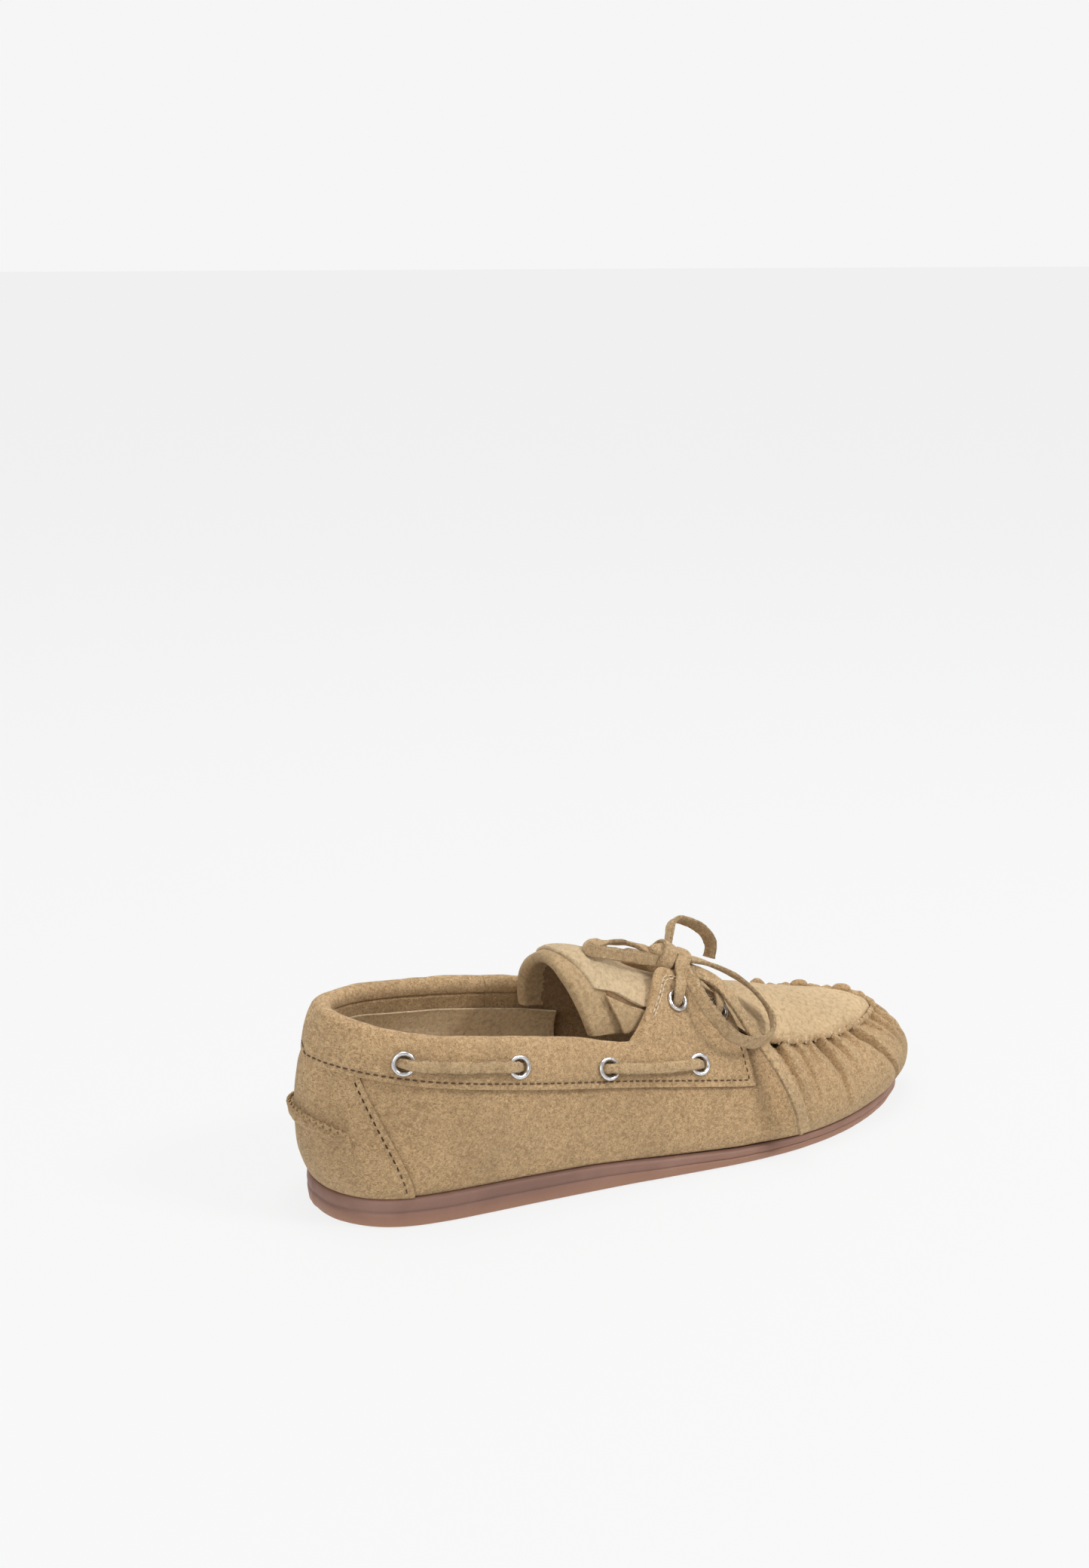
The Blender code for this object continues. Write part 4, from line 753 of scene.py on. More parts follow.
def puff_of(s, r, w):
    soft = 1 - 0.65 * smoothstep(s, BASE - 0.5, BASE + 2.0)
    return soft * 0.75 * np.sin(np.pi * np.clip((r - LOW) / HIGH, 0, 1)) ** 0.8 + 0.35 * np.sin(np.pi * np.clip(w, 0, 1))


def make_band(cols):
    got = [band_path(c) for c in cols]
    path = np.array([g[0] for g in got])
    tag = np.array([g[1] for g in got])
    length = np.array([g[2] for g in got])
    path = blur(path, 3)
    n = cross_normals(path)
    if np.sum(n[:, 5] * norm(np.asarray(cols), LOW + 0.4)) < 0:
        n = -n
    n = unit(blur(blur(n, 3), 3, axis=1))
    return path, n, tag, length


lat_cols = np.concatenate([np.arange(HEEL - FRONT, HEEL - BASE, 1 / 18), np.arange(HEEL - BASE, HEEL + 8.47, 1 / 13), [HEEL + 8.5]])
med_cols = np.concatenate([np.arange(HEEL + 8.515, HEEL + BASE, 1 / 13), np.arange(HEEL + BASE, HEEL + FRONT + 0.001, 1 / 18)])
bands = {"lateral": make_band(lat_cols), "medial": make_band(med_cols)}
band_offset, band_thick, band_leg = {}, {}, {}
for side, cols in (("lateral", lat_cols), ("medial", med_cols)):
    path, n, tag, length = bands[side]
    s, _ = station(cols)
    a = np.linspace(0, 1, NP_ + 1)[None, :] * length[:, None]
    off = puff_of(s[:, None], tag[..., 0], tag[..., 1])
    off = off - 0.42 * np.exp(-(((a - 2.3) / 0.75) ** 2))
    from_edge = length[:, None] - a
    off = off - 0.3 * np.exp(-(((from_edge - 3.2) / 0.7) ** 2)) * smoothstep(s, BASE + 0.7, BASE + 1.6)[:, None]
    off = off + 0.22 * lumps(path, 24) + 0.1 * lumps(path, 8, 1)
    band_offset[side] = off
    band_thick[side] = 7.2 + (2.6 - 7.2) * smoothstep(s, BASE - 2.0, BASE + 1.0)
    band_leg[side] = 10.5 + (length - 9.0) * smoothstep(s, BASE - 1.0, BASE + 1.5)

EYELETS = {"lateral": [(24.0, 59.0), (63.5, 51.6), (99.0, 44.6), (136.0, 39.4), (134.0, 59.0), (151.5, 52.4)],
           "medial": [(24.0, 62.4), (63.5, 57.2), (99.0, 51.2), (136.0, 44.2), (134.0, 60.0), (151.5, 53.2)]}
NAMES = ("collar_1", "collar_2", "collar_3", "collar_4", "facing_rear", "facing_front")
cR, rR = np.meshgrid(np.arange(0, COLS, 1 / K), np.arange(LOW * RK, TOP * RK + 1) / RK, indexing="ij")
grid_band = surf(cR, rR)
places = {}
for side, spots in EYELETS.items():
    for label, (x, z) in zip(NAMES, spots):
        if label.startswith("collar"):
            mask = station(cR)[1] == (side == "medial")
            d = (grid_band[..., 0] - x) ** 2 + (grid_band[..., 2] - z) ** 2 + np.where(mask, 0, 1e6)
            i = np.unravel_index(np.argmin(d), d.shape)
            c, r = float(cR[i]), float(rR[i])
            n = norm(c, r)
            lift = float(puff_of(float(station(c)[0]), r, 0.0)) - 0.1
            places[side, label] = (surf(c, r) + n * lift, n, c, r)
        else:
            path, n, tag, length = bands[side]
            d = (path[..., 0] - x) ** 2 + (path[..., 2] - z) ** 2 + np.where(tag[..., 1] > 0.03, 0, 1e6)
            i = np.unravel_index(np.argmin(d), d.shape)
            places[side, label] = (path[i] + n[i] * band_offset[side][i], n[i], i, None)

for side in ("lateral", "medial"):
    path, n, tag, length = bands[side]
    holes = [(v[0], v[1], 2.95, 2.1) for v in places.values()]
    piece, _ = folded("visual_collar_band_" + side, path, n, band_thick[side], band_leg[side], 1.1, [SUEDE, EDGE], offset=band_offset[side], fringe=0.6, dimples=holes, crease=0.75, leg_points=44)
    put(piece, "shoe", "collar_band_" + side, slot="suede_tan")

# facing backers, the quarter's lining and the collar's foam
for side, cols in (("lateral", lat_cols), ("medial", med_cols)):
    path, n, tag, length = bands[side]
    s, _ = station(cols)
    pick = np.nonzero((s >= BASE + 0.9) & ((cols < HEEL) == (side == "lateral")))[0]
    o, q = [], []
    for i in pick:
        keep = tag[i, :, 1] > 0.02
        p, m = path[i][keep], n[i][keep]
        a_ = arc(p)
        at_ = np.linspace(0, max(a_[-1] - 0.9, 0.5), 22)
        pp = np.stack([np.interp(at_, a_, p[:, k]) for k in range(3)], -1)
        mm = unit(np.stack([np.interp(at_, a_, m[:, k]) for k in range(3)], -1))
        o.append(pp - mm * 2.75)
        q.append(pp - mm * 3.5)
    put(shell("visual_facing_lining_" + side, o, q, LINING), "shoe", "facing_lining_" + side, slot="suede_lining")
qc = np.arange(HEEL - BASE, HEEL + BASE + 0.01, 1 / 8)
qr = np.linspace(0.6, 5.6, 40)
CQ, RQ = np.meshgrid(qc, qr, indexing="ij")
qd = np.interp(RQ, [0, 3, 3.8, 4.6, 5.6], [4.2, 4.2, 5.0, 6.4, 8.0]) - 0.25 * lumps(surf(CQ, RQ), 22)
put(shell("visual_quarter_lining", surf(CQ, RQ, qd), surf(CQ, RQ, qd + 0.8), LINING), "shoe", "quarter_lining", slot="suede_lining")
CQ, RQ = np.meshgrid(np.arange(HEEL - BASE + 1, HEEL + BASE - 0.99, 1 / 6), np.linspace(5.6, 6.8, 14), indexing="ij")
foam = put(shell("visual_collar_foam", surf(CQ, RQ, 2.6 + 0 * RQ), surf(CQ, RQ, 4.6 + 0 * RQ), FOAM), "shoe", "collar_foam", slot="foam")

# ------------------------------------------------------------------ apron and the gathered seam
CROWN = ((145, 57.2), (156, 55.8), (165, 53.6), (180, 50.2), (195, 46.4), (210, 42.8), (222, 39.6), (230, 37.0), (236, 34.5))


def apron_points(nu=150, nv=81):
    rows = []
    ss = np.linspace(FRONT - 1, NST - 1.02, nu)
    ends = {FRONT - 1: (147.0, 15.6, 48.6), FRONT: (157.0, 18.4, 47.4)}
    pairs = []
    for s in range(FRONT - 1, NST):
        if s <= FRONT:
            x, half, z = ends[s]
            pairs.append(((x, -half, z), (x, half, z + 0.8)))
        else:
            pairs.append((tuple(surf(HEEL - s, TOP)), tuple(surf(HEEL + s, TOP))))
    A = smooth_path([p[0] for p in pairs], at=np.linspace(0, 1, nu))
    B = smooth_path([p[1] for p in pairs], at=np.linspace(0, 1, nu))
    for a_, b_ in zip(A, B):
        across = unit(b_ - a_)
        a_, b_ = a_ + across * 0.7, b_ - across * 0.7
        top = table((a_[0] + b_[0]) / 2, CROWN)
        v = np.linspace(-1, 1, nv)[:, None]
        base = a_ * (1 - v) / 2 + b_ * (1 + v) / 2
        rise = top - (a_[2] + b_[2]) / 2
        base = base + np.array([0, 0, 1.0]) * rise * (1 - np.abs(v) ** 2.2)
        rows.append(base)
    return np.array(rows)


ag = apron_points()
ag = blur(ag, 10)
an = cross_normals(ag)
an = np.where(an[..., 2:] < 0, -an, an)
v = np.linspace(-1, 1, ag.shape[1])[None, :]
edge_fall = 0.8 * np.exp(-(((1 - np.abs(v)) / 0.10) ** 2))
ag = ag + an * (0.45 * lumps(ag, 30)[..., None] + 0.12 * lumps(ag, 9, 1)[..., None]) - an * edge_fall[..., None]
# The apron takes the lighter copy of the suede, as painted top light.
put(shell("visual_apron", ag, ag - an * 1.1, [SUEDE_TOP_LIT, EDGE], edge_mat=1), "shoe", "apron", slot="suede_tan")

seam_c = np.linspace(HEEL - FRONT - 0.7, -(COLS - HEEL - FRONT - 0.7), 1400)  # lateral front, round the toe, to the medial front
seam_p = surf(seam_c, TOP)
seam_a = arc(seam_p)
UP = np.array([0, 0, 1.0])
runs, threads_ = [], []


def seam_frame(q):
    c = np.interp(q, seam_a, seam_c)
    p = surf(c, TOP)
    along = unit(surf(c - 0.15, TOP) - surf(c + 0.15, TOP))
    inward = np.cross(UP, along)
    return p, along, inward if np.dot(inward, np.array([190.0, 0, p[2]]) - p) > 0 else -inward


pos, count = 1.0, 0
while pos < seam_a[-1] - 4.0:
    c = float(np.interp(pos, seam_a, seam_c))
    far = float(smoothstep(c, 1.6, -0.8))
    pitch = (5.9 if far > 0.5 else 4.6) * (1 + 0.06 * rng.normal())
    p, along, inward = seam_frame(pos)
    q, _, inward2 = seam_frame(pos + pitch)
    k = 0.52 + 0.48 * far
    knob = (2.1 if count % 3 == 1 else 0.5 * rng.random()) * far * float(smoothstep(c, -9.5, -6.5)) + 0.7 * (count % 4 == 2) * (1 - far)
    mid_ = (p + q) / 2
    pts = [p - inward * 1.9 * k - UP * 1.5 * k - along * 0.4, p - inward * 1.2 * k + UP * (0.35 + knob * 0.8), mid_ - inward * 0.5 * k + UP * (0.75 * k + knob),
           q + inward * 0.6 * k + UP * 0.45 * k, q + inward2 * 1.5 * k - UP * 0.6 + along * 0.9]
    pp = smooth_path(pts, 22)
    t = np.linspace(0, 1, 23)
    rad = (0.35 + 1.6 * np.sin(np.pi * np.clip(t * 1.04, 0, 1)) ** 0.6) * k * (1 + 0.10 * np.sin(t * 17 + pos * 3)) * (1 + 0.06 * rng.normal())
    runs.append((pp, np.maximum(rad, 0.3), UP))
    base = p + along * 0.2
    th = [base - inward * 2.0 * k - UP * 0.9 * k - along * 0.9, base - inward * 0.9 * k + UP * (1.35 * k + 0.25) - along * 0.5, base + inward * 0.6 * k + UP * (1.55 * k + 0.3) + along * 0.5,
          base + inward * 1.9 * k + UP * (0.5 * k + 0.2) + along * 1.6, base + inward * 2.5 * k - UP * 0.5 + along * 2.1]
    threads_.append((smooth_path(th, 14), 0.36 * (0.75 + 0.25 * far), UP))
    pos += pitch
    count += 1
seam_piece = put(many_tubes("visual_apron_seam_cord", runs, SUEDE, sides=14), "shoe", "apron_seam_cord", slot="lace_leather")
put(many_tubes("visual_seam_thread", threads_, THREAD_PALE, sides=6), "shoe", slot="thread")

# ------------------------------------------------------------------ tongue, its lining, and the overlay
TONGUE_TOP = ((88, 78.5), (93, 79.6), (100, 79.4), (108, 76.2), (118, 70.4), (128, 65.0), (136, 61.4), (145.5, 58.0))
TONGUE_HALF = ((88, 20.0), (100, 20.5), (112, 19.5), (128, 17.0), (136, 15.6), (145.5, 14.6))
TONGUE_DROP = ((88, 25.0), (100, 27.5), (112, 23.0), (128, 14.5), (136, 11.0), (145.5, 7.6))
_tx = np.linspace(80, 146, 133)
_tt = [np.interp(_tx, *np.array(t).T) for t in (TONGUE_TOP, TONGUE_HALF, TONGUE_DROP)]
_tt = [blur(t, 40) for t in _tt]


def tongue_at(x, v, depth=0.0):
    a_ = v * math.radians(84)
    top, half, drop = (np.interp(x, _tx, t) for t in _tt)
    return np.stack([x + 0 * v, half * np.sin(a_), top - drop * (1 - np.cos(a_)) / 0.9], -1)


def tongue_rear(v):
    return 91.0 + 5.0 * np.abs(v) ** 2 - 4.5 * v


def tongue_surface(x0, x1, v):
    """Columns across v, points from the front x1 back to the rear edge x0(v)."""
    u = np.linspace(0, 1, 90)[None, :]
    x = x1 + (x0(v)[:, None] - x1) * u
    g = tongue_at(x, np.broadcast_to(v[:, None], x.shape))
    n = cross_normals(g)
    if n[len(v) // 2, :, 2].sum() < 0:
        n = -n
    return g, n


TONGUE = suede("suede_tongue", (0.53, 0.375, 0.21), (0.25, 0.15, 0.065), speck=0.5, nap=0.00025)
tv = np.linspace(-1, 1, 141)
tg, tn = tongue_surface(tongue_rear, 145.2, tv)
off = 0.35 * lumps(tg, 26) + 0.12 * lumps(tg, 8, 1)
tongue_piece, _ = folded("visual_tongue", tg, tn, 4.6, 6.4 + 0.5 * np.sin(tv * 19) + 0.3 * np.sin(tv * 47), 1.2, [TONGUE, EDGE], offset=off, fringe=0.9, leg_points=12)
put(tongue_piece, "tongue_flap", "tongue", slot="suede_tan")
# The tongue lining takes the dark painted-shade suede; its darkness stands for the shade under the tongue.
for nm, x_off, d0, d1, mat, cad, sl in (("visual_tongue_lining", 3.6, 3.7, 4.4, PAINTED_SHADE_UNDER, "tongue_lining", "suede_lining"), ("visual_tongue_foam", 9.0, 1.6, 3.1, FOAM, "tongue_foam", "foam")):
    vv = tv * (1.0 if cad == "tongue_lining" else 0.9)
    g, n = tongue_surface(lambda q: tongue_rear(q) + x_off, 145.0 if cad == "tongue_lining" else 139.0, vv)
    put(shell(nm, g - n * d0, g - n * d1, mat), "tongue_flap", cad, slot=sl)


OVERLAY = suede("suede_overlay", (0.62, 0.47, 0.29), (0.42, 0.29, 0.16), speck=0.3, nap=0.00025)
REAR_LINE = ((-0.74, 121.3), (-0.66, 115.2), (-0.62, 111.5), (-0.605, 108.0), (-0.595, 103.0), (-0.59, 102.4), (-0.36, 98.4), (-0.11, 94.3), (0.1, 93.2), (0.35, 93.6), (0.86, 97.0))


def overlay_rear(v):
    return np.interp(v, [q[0] for q in REAR_LINE], [q[1] for q in REAR_LINE])


ov = np.concatenate([np.linspace(-0.74, -0.58, 60), np.linspace(-0.57, 0.86, 110)])
og, on = tongue_surface(overlay_rear, 145.2, ov)
on = unit(blur(on, 8))
rise = 1.3 + 0.5 * smoothstep(-ov, 0.5, 0.7)[:, None] * np.linspace(0, 1, 90)[None, :] ** 6 + 0.35 * lumps(og, 20)
piece, _ = folded("visual_tongue_overlay", og + on * rise[..., None], on, 1.9, 5.0, 0.85, [OVERLAY, EDGE], offset=0.12 * lumps(og, 8, 1), fringe=0.4, leg_points=8)
put(piece, "tongue_flap", "tongue_overlay", slot="suede_tan")


def tongue_patch(name, corners, low, high, mats, nu=60, nv=26, edge=0.5):
    """A small leather on the tongue: corners are (x, v) at rear-top, rear-bottom, front-top and front-bottom."""
    (xa, va), (xb, vb), (xc, vc_), (xd, vd) = corners
    t, w = np.meshgrid(np.linspace(0, 1, nv), np.linspace(0, 1, nu), indexing="ij")
    x = (xa * (1 - t) + xb * t) * (1 - w) + (xc * (1 - t) + xd * t) * w
    vv = (va * (1 - t) + vb * t) * (1 - w) + (vc_ * (1 - t) + vd * t) * w
    g = tongue_at(x, vv)
    n = cross_normals(g)
    out = unit(g - np.stack([x, 0 * x, 0 * x + 50.0], -1))
    if np.sum(n * out) < 0:
        n = -n
    near = np.minimum(np.minimum(t, 1 - t) * 12.0, np.minimum(w, 1 - w) * 25.0)
    pull = edge * (1 - np.sqrt(np.clip(1 - (1 - np.clip(near / edge, 0, 1)) ** 2, 0, 1)))
    return shell(name, g + n * (high - pull + 0.15 * lumps(g, 7, 1))[..., None], g + n * (low + 0 * pull)[..., None], mats, edge_mat=min(1, len(mats) - 1))


# A thin dark sheet of painted shadow, laid in the gap under the overlay's notch where there is only shade.
put(tongue_patch("visual_tongue_gap_painted_shadow", [(106.5, -0.56), (106.8, -0.78), (126.0, -0.70), (126.0, -0.90)], 0.25, 0.62, [PAINTED_SHADE_UNDER]), "tongue_flap", slot="suede_lining")
put(tongue_patch("visual_tongue_flap_leather", [(106.0, -0.655), (112.5, -1.0), (128.0, -0.82), (128.0, -1.0)], 0.3, 1.7, [TONGUE, EDGE], edge=0.7), "tongue_flap", slot="suede_tan")
put(tongue_patch("visual_tongue_flap_edge", [(104.6, -0.645), (111.0, -1.0), (107.2, -0.675), (113.6, -1.0)], 1.3, 2.35, [TONGUE, EDGE], nu=12, edge=0.5), "tongue_flap", slot="suede_tan")

# ------------------------------------------------------------------ heel tab
tab_z = lambda s: 38.5 - 3.5 * (s / 2.0) ** 2


def row_at_height(c, z):
    rs = np.linspace(0, TOP, 561)
    zs = surf(np.full(561, float(c)), rs)[:, 2]
    return float(rs[int(np.argmin(abs(zs - z)))])


tc = np.linspace(HEEL - 2.15, HEEL + 2.15, 110)
to, tnn = [], []
for c in tc:
    s = abs(c - HEEL)
    z = tab_z(s)
    rr = [row_at_height(c, z - d) for d in np.linspace(5.2, 0.0, 15)]
    to.append(surf(np.full(15, c), rr, -0.1))
    tnn.append(norm(np.full(15, c), rr))
to, tnn = np.array(to), np.array(tnn)
t = np.linspace(0, 1, 15)[None, :]
bulge = 1.5 * np.sin(np.pi * t) ** 0.5 * (1 - 0.25 * np.abs(np.linspace(-1, 1, 110))[:, None] ** 4) + 0.15 * lumps(to, 4, 1)
put(shell("visual_heel_tab", to + tnn * (0.2 + bulge)[..., None], to - tnn * 1.1, [SUEDE, EDGE], edge_mat=1), "shoe", "heel_tab", slot="suede_tan")
yarn = []
path_y, n_y = to[:, -2] + tnn[:, -2] * 1.5, tnn[:, -2]
ya = arc(path_y)
pos = 1.0
while pos < ya[-1] - 3.0:
    for sgn in (-1, 1):
        q = np.array([pos, pos + 1.3, pos + 2.6])
        pts = np.stack([np.interp(q, ya, path_y[:, k]) for k in range(3)], -1)
        nn_ = unit(np.stack([np.interp(q, ya, n_y[:, k]) for k in range(3)], -1))
        lift_ = np.array([-0.5, 0.45, -0.5])[:, None]
        side_ = unit(np.cross(nn_[0], pts[-1] - pts[0]))
        yarn.append((smooth_path(pts + nn_ * lift_ + side_ * (np.array([-0.7, 0, 0.7]) * sgn + 0.2 * sgn)[:, None], 8), 0.42, nn_[0]))
    pos += 2.9
put(many_tubes("visual_heel_tab_yarn", yarn, THREAD_TAN, sides=6), "shoe", slot="thread")

# ------------------------------------------------------------------ eyelets
def turned(name, p, n, profile, mat, sides=40):
    n = unit(np.asarray(n, float))
    x = unit(np.cross(n, [0.3, 0.2, 1.0]))
    y = np.cross(n, x)
    t = np.linspace(0, 2 * math.pi, sides, endpoint=False)
    pts = [p + r * (np.cos(a_) * x + np.sin(a_) * y) + z * n for r, z in profile for a_ in t]
    m = len(profile)
    faces = [(i * sides + j, i * sides + (j + 1) % sides, (i + 1) % m * sides + (j + 1) % sides, (i + 1) % m * sides + j) for i in range(m) for j in range(sides)]
    return to_mesh(name, pts, faces, mat)


flange = [(2.72, -1.6), (2.7, 0.2), (2.74, 0.55)]
flange += [(3.47 + 0.72 * math.cos(math.radians(a_)), 0.36 + 0.74 * math.sin(math.radians(a_))) for a_ in range(165, -1, -15)]
flange += [(4.2, 0.08), (4.0, -0.1), (3.05, -0.1), (2.98, -1.6)]
for (side, label), got in places.items():
    put(turned(f"visual_eyelet_{side}_{label}", got[0], got[1], flange, METAL), "shoe", f"eyelet_{side}_{label}", slot="nickel_plate")

# ------------------------------------------------------------------ laces
def lace(name, points, ups, widths, thick=1.5, step=0.7, mat=None, twist=0.0, sides=24, crease=0.3, full=0.6):
    """A suede lace through points: a flat strip with softly rounded sides and a crease down its middle."""
    points, ups = np.asarray(points, float), np.asarray(ups, float)
    widths = np.broadcast_to(np.asarray(widths, float), (len(points),))
    p = smooth_path(points, step=step)
    a_, b_ = arc(points), arc(p)
    q = b_ / b_[-1] * a_[-1]
    u = unit(blur(np.stack([np.interp(q, a_, ups[:, k]) for k in range(3)], -1), 4))
    w = blur(np.interp(q, a_, widths), 3) + 0.16 * lumps(p, 7, 1)
    along = unit(np.gradient(p, axis=0))
    u = unit(u - along * np.sum(u * along, 1, keepdims=True))
    side_ = np.cross(along, u)
    if twist:
        t_ = (twist * lumps(p, 26, 2))[:, None]
        u, side_ = u * np.cos(t_) + side_ * np.sin(t_), side_ * np.cos(t_) - u * np.sin(t_)
    t = np.linspace(0, 2 * math.pi, sides, endpoint=False) + math.pi / sides
    cs, sn = np.cos(t), np.sin(t)
    xs, ys = np.sign(cs) * np.abs(cs) ** full, np.sign(sn) * np.abs(sn) ** full
    ys = ys * (1 - crease * np.exp(-((xs / 0.3) ** 2)) * (ys > 0))
    edge_ = 0.10 * lumps(p, 2.5, 0)
    rings = p[:, None] + side_[:, None] * (xs[None, :, None] * (w / 2 + edge_)[:, None, None]) + u[:, None] * (ys * thick / 2)[None, :, None]
    m = len(p)
    faces = tube_faces(m, sides)
    cut = [1 if abs(math.cos((t[j] + t[(j + 1) % sides] + (2 * math.pi if j == sides - 1 else 0)) / 2)) > 0.86 else 0 for j in range(sides)] * (m - 1) + [1, 1]
    return to_mesh(name, rings.reshape(-1, 3), faces, [mat or LACE, LACE_EDGE], cut), p, b_[-1]


LACE_W = 4.3
OUTSIDE, OVER_FLANGE, INSIDE = -1.75, -2.3, 2.0


def collar_run(side):
    knots = [(places[side, k][2], places[side, k][3]) for k in ("collar_4", "collar_3", "collar_2", "collar_1")]
    sign = 1 if side == "lateral" else -1

    def per_mm(c):
        return 1.0 / float(np.linalg.norm(surf(c + 0.5, 5.5) - surf(c - 0.5, 5.5)))

    out = [(knots[0][0] - sign * 6 * per_mm(knots[0][0]), knots[0][1], INSIDE, LACE_W)]
    for k, (c, r) in enumerate(knots):
        m = per_mm(c) * sign
        leaving = 1 if k % 2 == 0 else -1
        steps = [(-4.4, INSIDE, 3.6), (-2.2, INSIDE - 0.5, 3.2), (0.2, -0.1, 3.4), (2.2, OVER_FLANGE + 0.3, 3.8), (4.4, OVER_FLANGE, 4.3), (7.0, OUTSIDE - 0.5, LACE_W), (9.5, OUTSIDE, LACE_W)]
        run = [(c + leaving * s * m, r, d, w) for s, d, w in steps]
        out += run if leaving == 1 else run[::-1]
        if k < 3:
            c2, r2 = knots[k + 1]
            a_, b_ = out[-1][0], c2 - sign * (9.5 if k % 2 == 0 else 4.4) * per_mm(c2)
            depth = OUTSIDE if k % 2 == 0 else INSIDE
            n = max(3, int(abs(b_ - a_) / 0.3))
            for w in np.arange(1, n) / n:
                out.append((a_ + (b_ - a_) * w, r + (r2 - r) * w, depth, LACE_W))
    return out


lat_run, med_run = collar_run("lateral"), collar_run("medial")
a_, b_ = lat_run[-1], med_run[-1]
around = [(a_[0] + (b_[0] - a_[0]) * w, a_[1] + (b_[1] - a_[1]) * w, INSIDE, LACE_W) for w in np.linspace(0, 1, 24)[1:-1]]
run = lat_run + around + med_run[::-1]
pts, ups, wid = [], [], []
for c, r, d, w in run:
    s = float(station(c)[0])
    lift = float(puff_of(s, r, 0.0)) * (1.0 if d < 0.5 else 0.0)
    pts.append(surf(c, r, d - lift))
    ups.append(norm(c, r))
    wid.append(w)
piece, _, _ = lace("visual_collar_lace", pts, ups, wid, thick=2.3, step=0.8, crease=0.0, full=0.75)
put(piece, "shoe", "collar_lace", slot="lace_leather")

KNOT = np.array([137.2, -4.2, 70.6])


def towards(side, label, target):
    p, n = places[side, label][:2]
    d = np.asarray(target, float) - p
    return p, n, unit(d - n * np.dot(d, n))


bar = []
for side in ("lateral", "medial"):
    p, n, d = towards(side, "facing_front", (153.5, 0.0, 60.0))
    half = [(p - n * 1.2 - d * 1.2, n - d * 0.9, 3.0), (p + n * 0.6 - d * 0.2, n - d * 0.9, 3.2), (p + n * 1.7 + d * 1.2, n - d * 0.6, 3.4), (p + n * 2.2 + d * 3.2, n, 3.8), (p + n * 2.1 + d * 6.0, n, 4.4)]
    bar += half if side == "lateral" else [((153.8, -5.0, 60.8), (0.2, -0.2, 1), LACE_W), ((154.0, 0.0, 61.4), (0.2, 0, 1), LACE_W), ((153.8, 5.0, 61.2), (0.2, 0.2, 1), LACE_W)] + half[::-1]
    p, n, d = towards(side, "facing_rear", KNOT)
    aim = unit(KNOT - p)
    if side == "lateral":
        rows = [(p - n * 1.2 - d * 1.2, n - d * 0.9, 3.0), (p + n * 0.5 - d * 0.3, n - d * 0.9, 3.4), (p + n * 1.7 + d * 1.1, n - d * 0.5, 4.0), (p + n * 2.6 + d * 3.2, n, 4.5),
                ((139.6, -13.4, 66.2), (-0.1, -0.9, 0.55), 5.0), ((140.6, -11.4, 69.4), (-0.1, -0.85, 0.6), 5.6), ((143.2, -8.8, 72.0), (0.1, -0.6, 0.9), 5.8), ((141.6, -4.4, 73.4), (0.2, -0.1, 1), 5.2)]
    else:
        rows = [(p - n * 1.2 - d * 1.4, n - d * 0.9, 3.0), (p + n * 0.5 - d * 0.5, n - d * 0.9, 3.2), (p + n * 1.6 + d * 0.9, n - d * 0.7, 3.6), (p + n * 2.4 + d * 2.8, n, 4.2),
                (p + n * 3.3 + d * 5.4, n, 4.4), (KNOT - aim * 6.0 + n * 1.2, n, 4.4), (KNOT - aim * 2.0 + n * 0.6, n, 4.2)]
    piece, _, _ = lace("visual_lace_riser_" + side, [r[0] for r in rows], [r[1] for r in rows], [r[2] for r in rows], thick=1.35)
    put(piece, "shoe", "lace_riser_" + side, slot="lace_leather")
    p0, n0 = places[side, "facing_rear"][:2]
    p1, n1 = places[side, "facing_front"][:2]
    under = []
    for w in np.linspace(0, 1, 7):
        n = unit(n0 * (1 - w) + n1 * w)
        under.append((p0 * (1 - w) + p1 * w - n * (4.6 - 0.6 * math.sin(math.pi * w)), n, 4.2))
    piece, _, _ = lace("visual_lace_under_" + side, [r[0] for r in under], [r[1] for r in under], 4.2, thick=1.0)
    put(piece, "shoe", "lace_under_" + side, slot="lace_leather")
piece, _, _ = lace("visual_lace_bar", [r[0] for r in bar], [r[1] for r in bar], [r[2] for r in bar], thick=1.35)
put(piece, "shoe", "lace_bar", slot="lace_leather")

# the knot: a strand wrapped round the crossing of the two loops, over a soft core
axis = unit(np.array([0.75, -0.18, -0.58]))
u0 = unit(np.cross(axis, [0, 1.0, 0.25]))
w0 = np.cross(axis, u0)
th = np.radians(np.linspace(-150, 265, 40))
wrap = [KNOT - axis * 1.2 + axis * (0.9 * math.sin(a * 0.5)) + u0 * (5.0 + 0.25 * a) * math.cos(a) + w0 * (4.7 + 0.25 * a) * math.sin(a) for a in th]
wups = [u0 * math.cos(a) + w0 * math.sin(a) for a in th]
knot, _, _ = lace("visual_lace_knot", wrap, wups, 6.0, thick=1.9, step=0.5, crease=0.15)
put(knot, "shoe", "lace_knot", slot="lace_leather")
t_, f_ = np.meshgrid(np.linspace(0, math.pi, 28), np.linspace(0, 2 * math.pi, 48, endpoint=False), indexing="ij")
core = np.stack([6.6 * np.cos(t_), 4.6 * np.sin(t_) * np.cos(f_), 4.3 * np.sin(t_) * np.sin(f_)], -1)
core = core * (1 + 0.10 * lumps(core, 6)[..., None])
core = KNOT + core[..., :1] * axis + core[..., 1:2] * u0 + core[..., 2:] * w0
fc = [(i * 48 + j, i * 48 + (j + 1) % 48, (i + 1) * 48 + (j + 1) % 48, (i + 1) * 48 + j) for i in range(27) for j in range(48)]
put(to_mesh("visual_lace_knot_core", core.reshape(-1, 3), fc, LACE), "shoe", slot="lace_leather")

FACING_OUT = np.array([-0.42, -0.86, 0.30])  # the open side of the bow


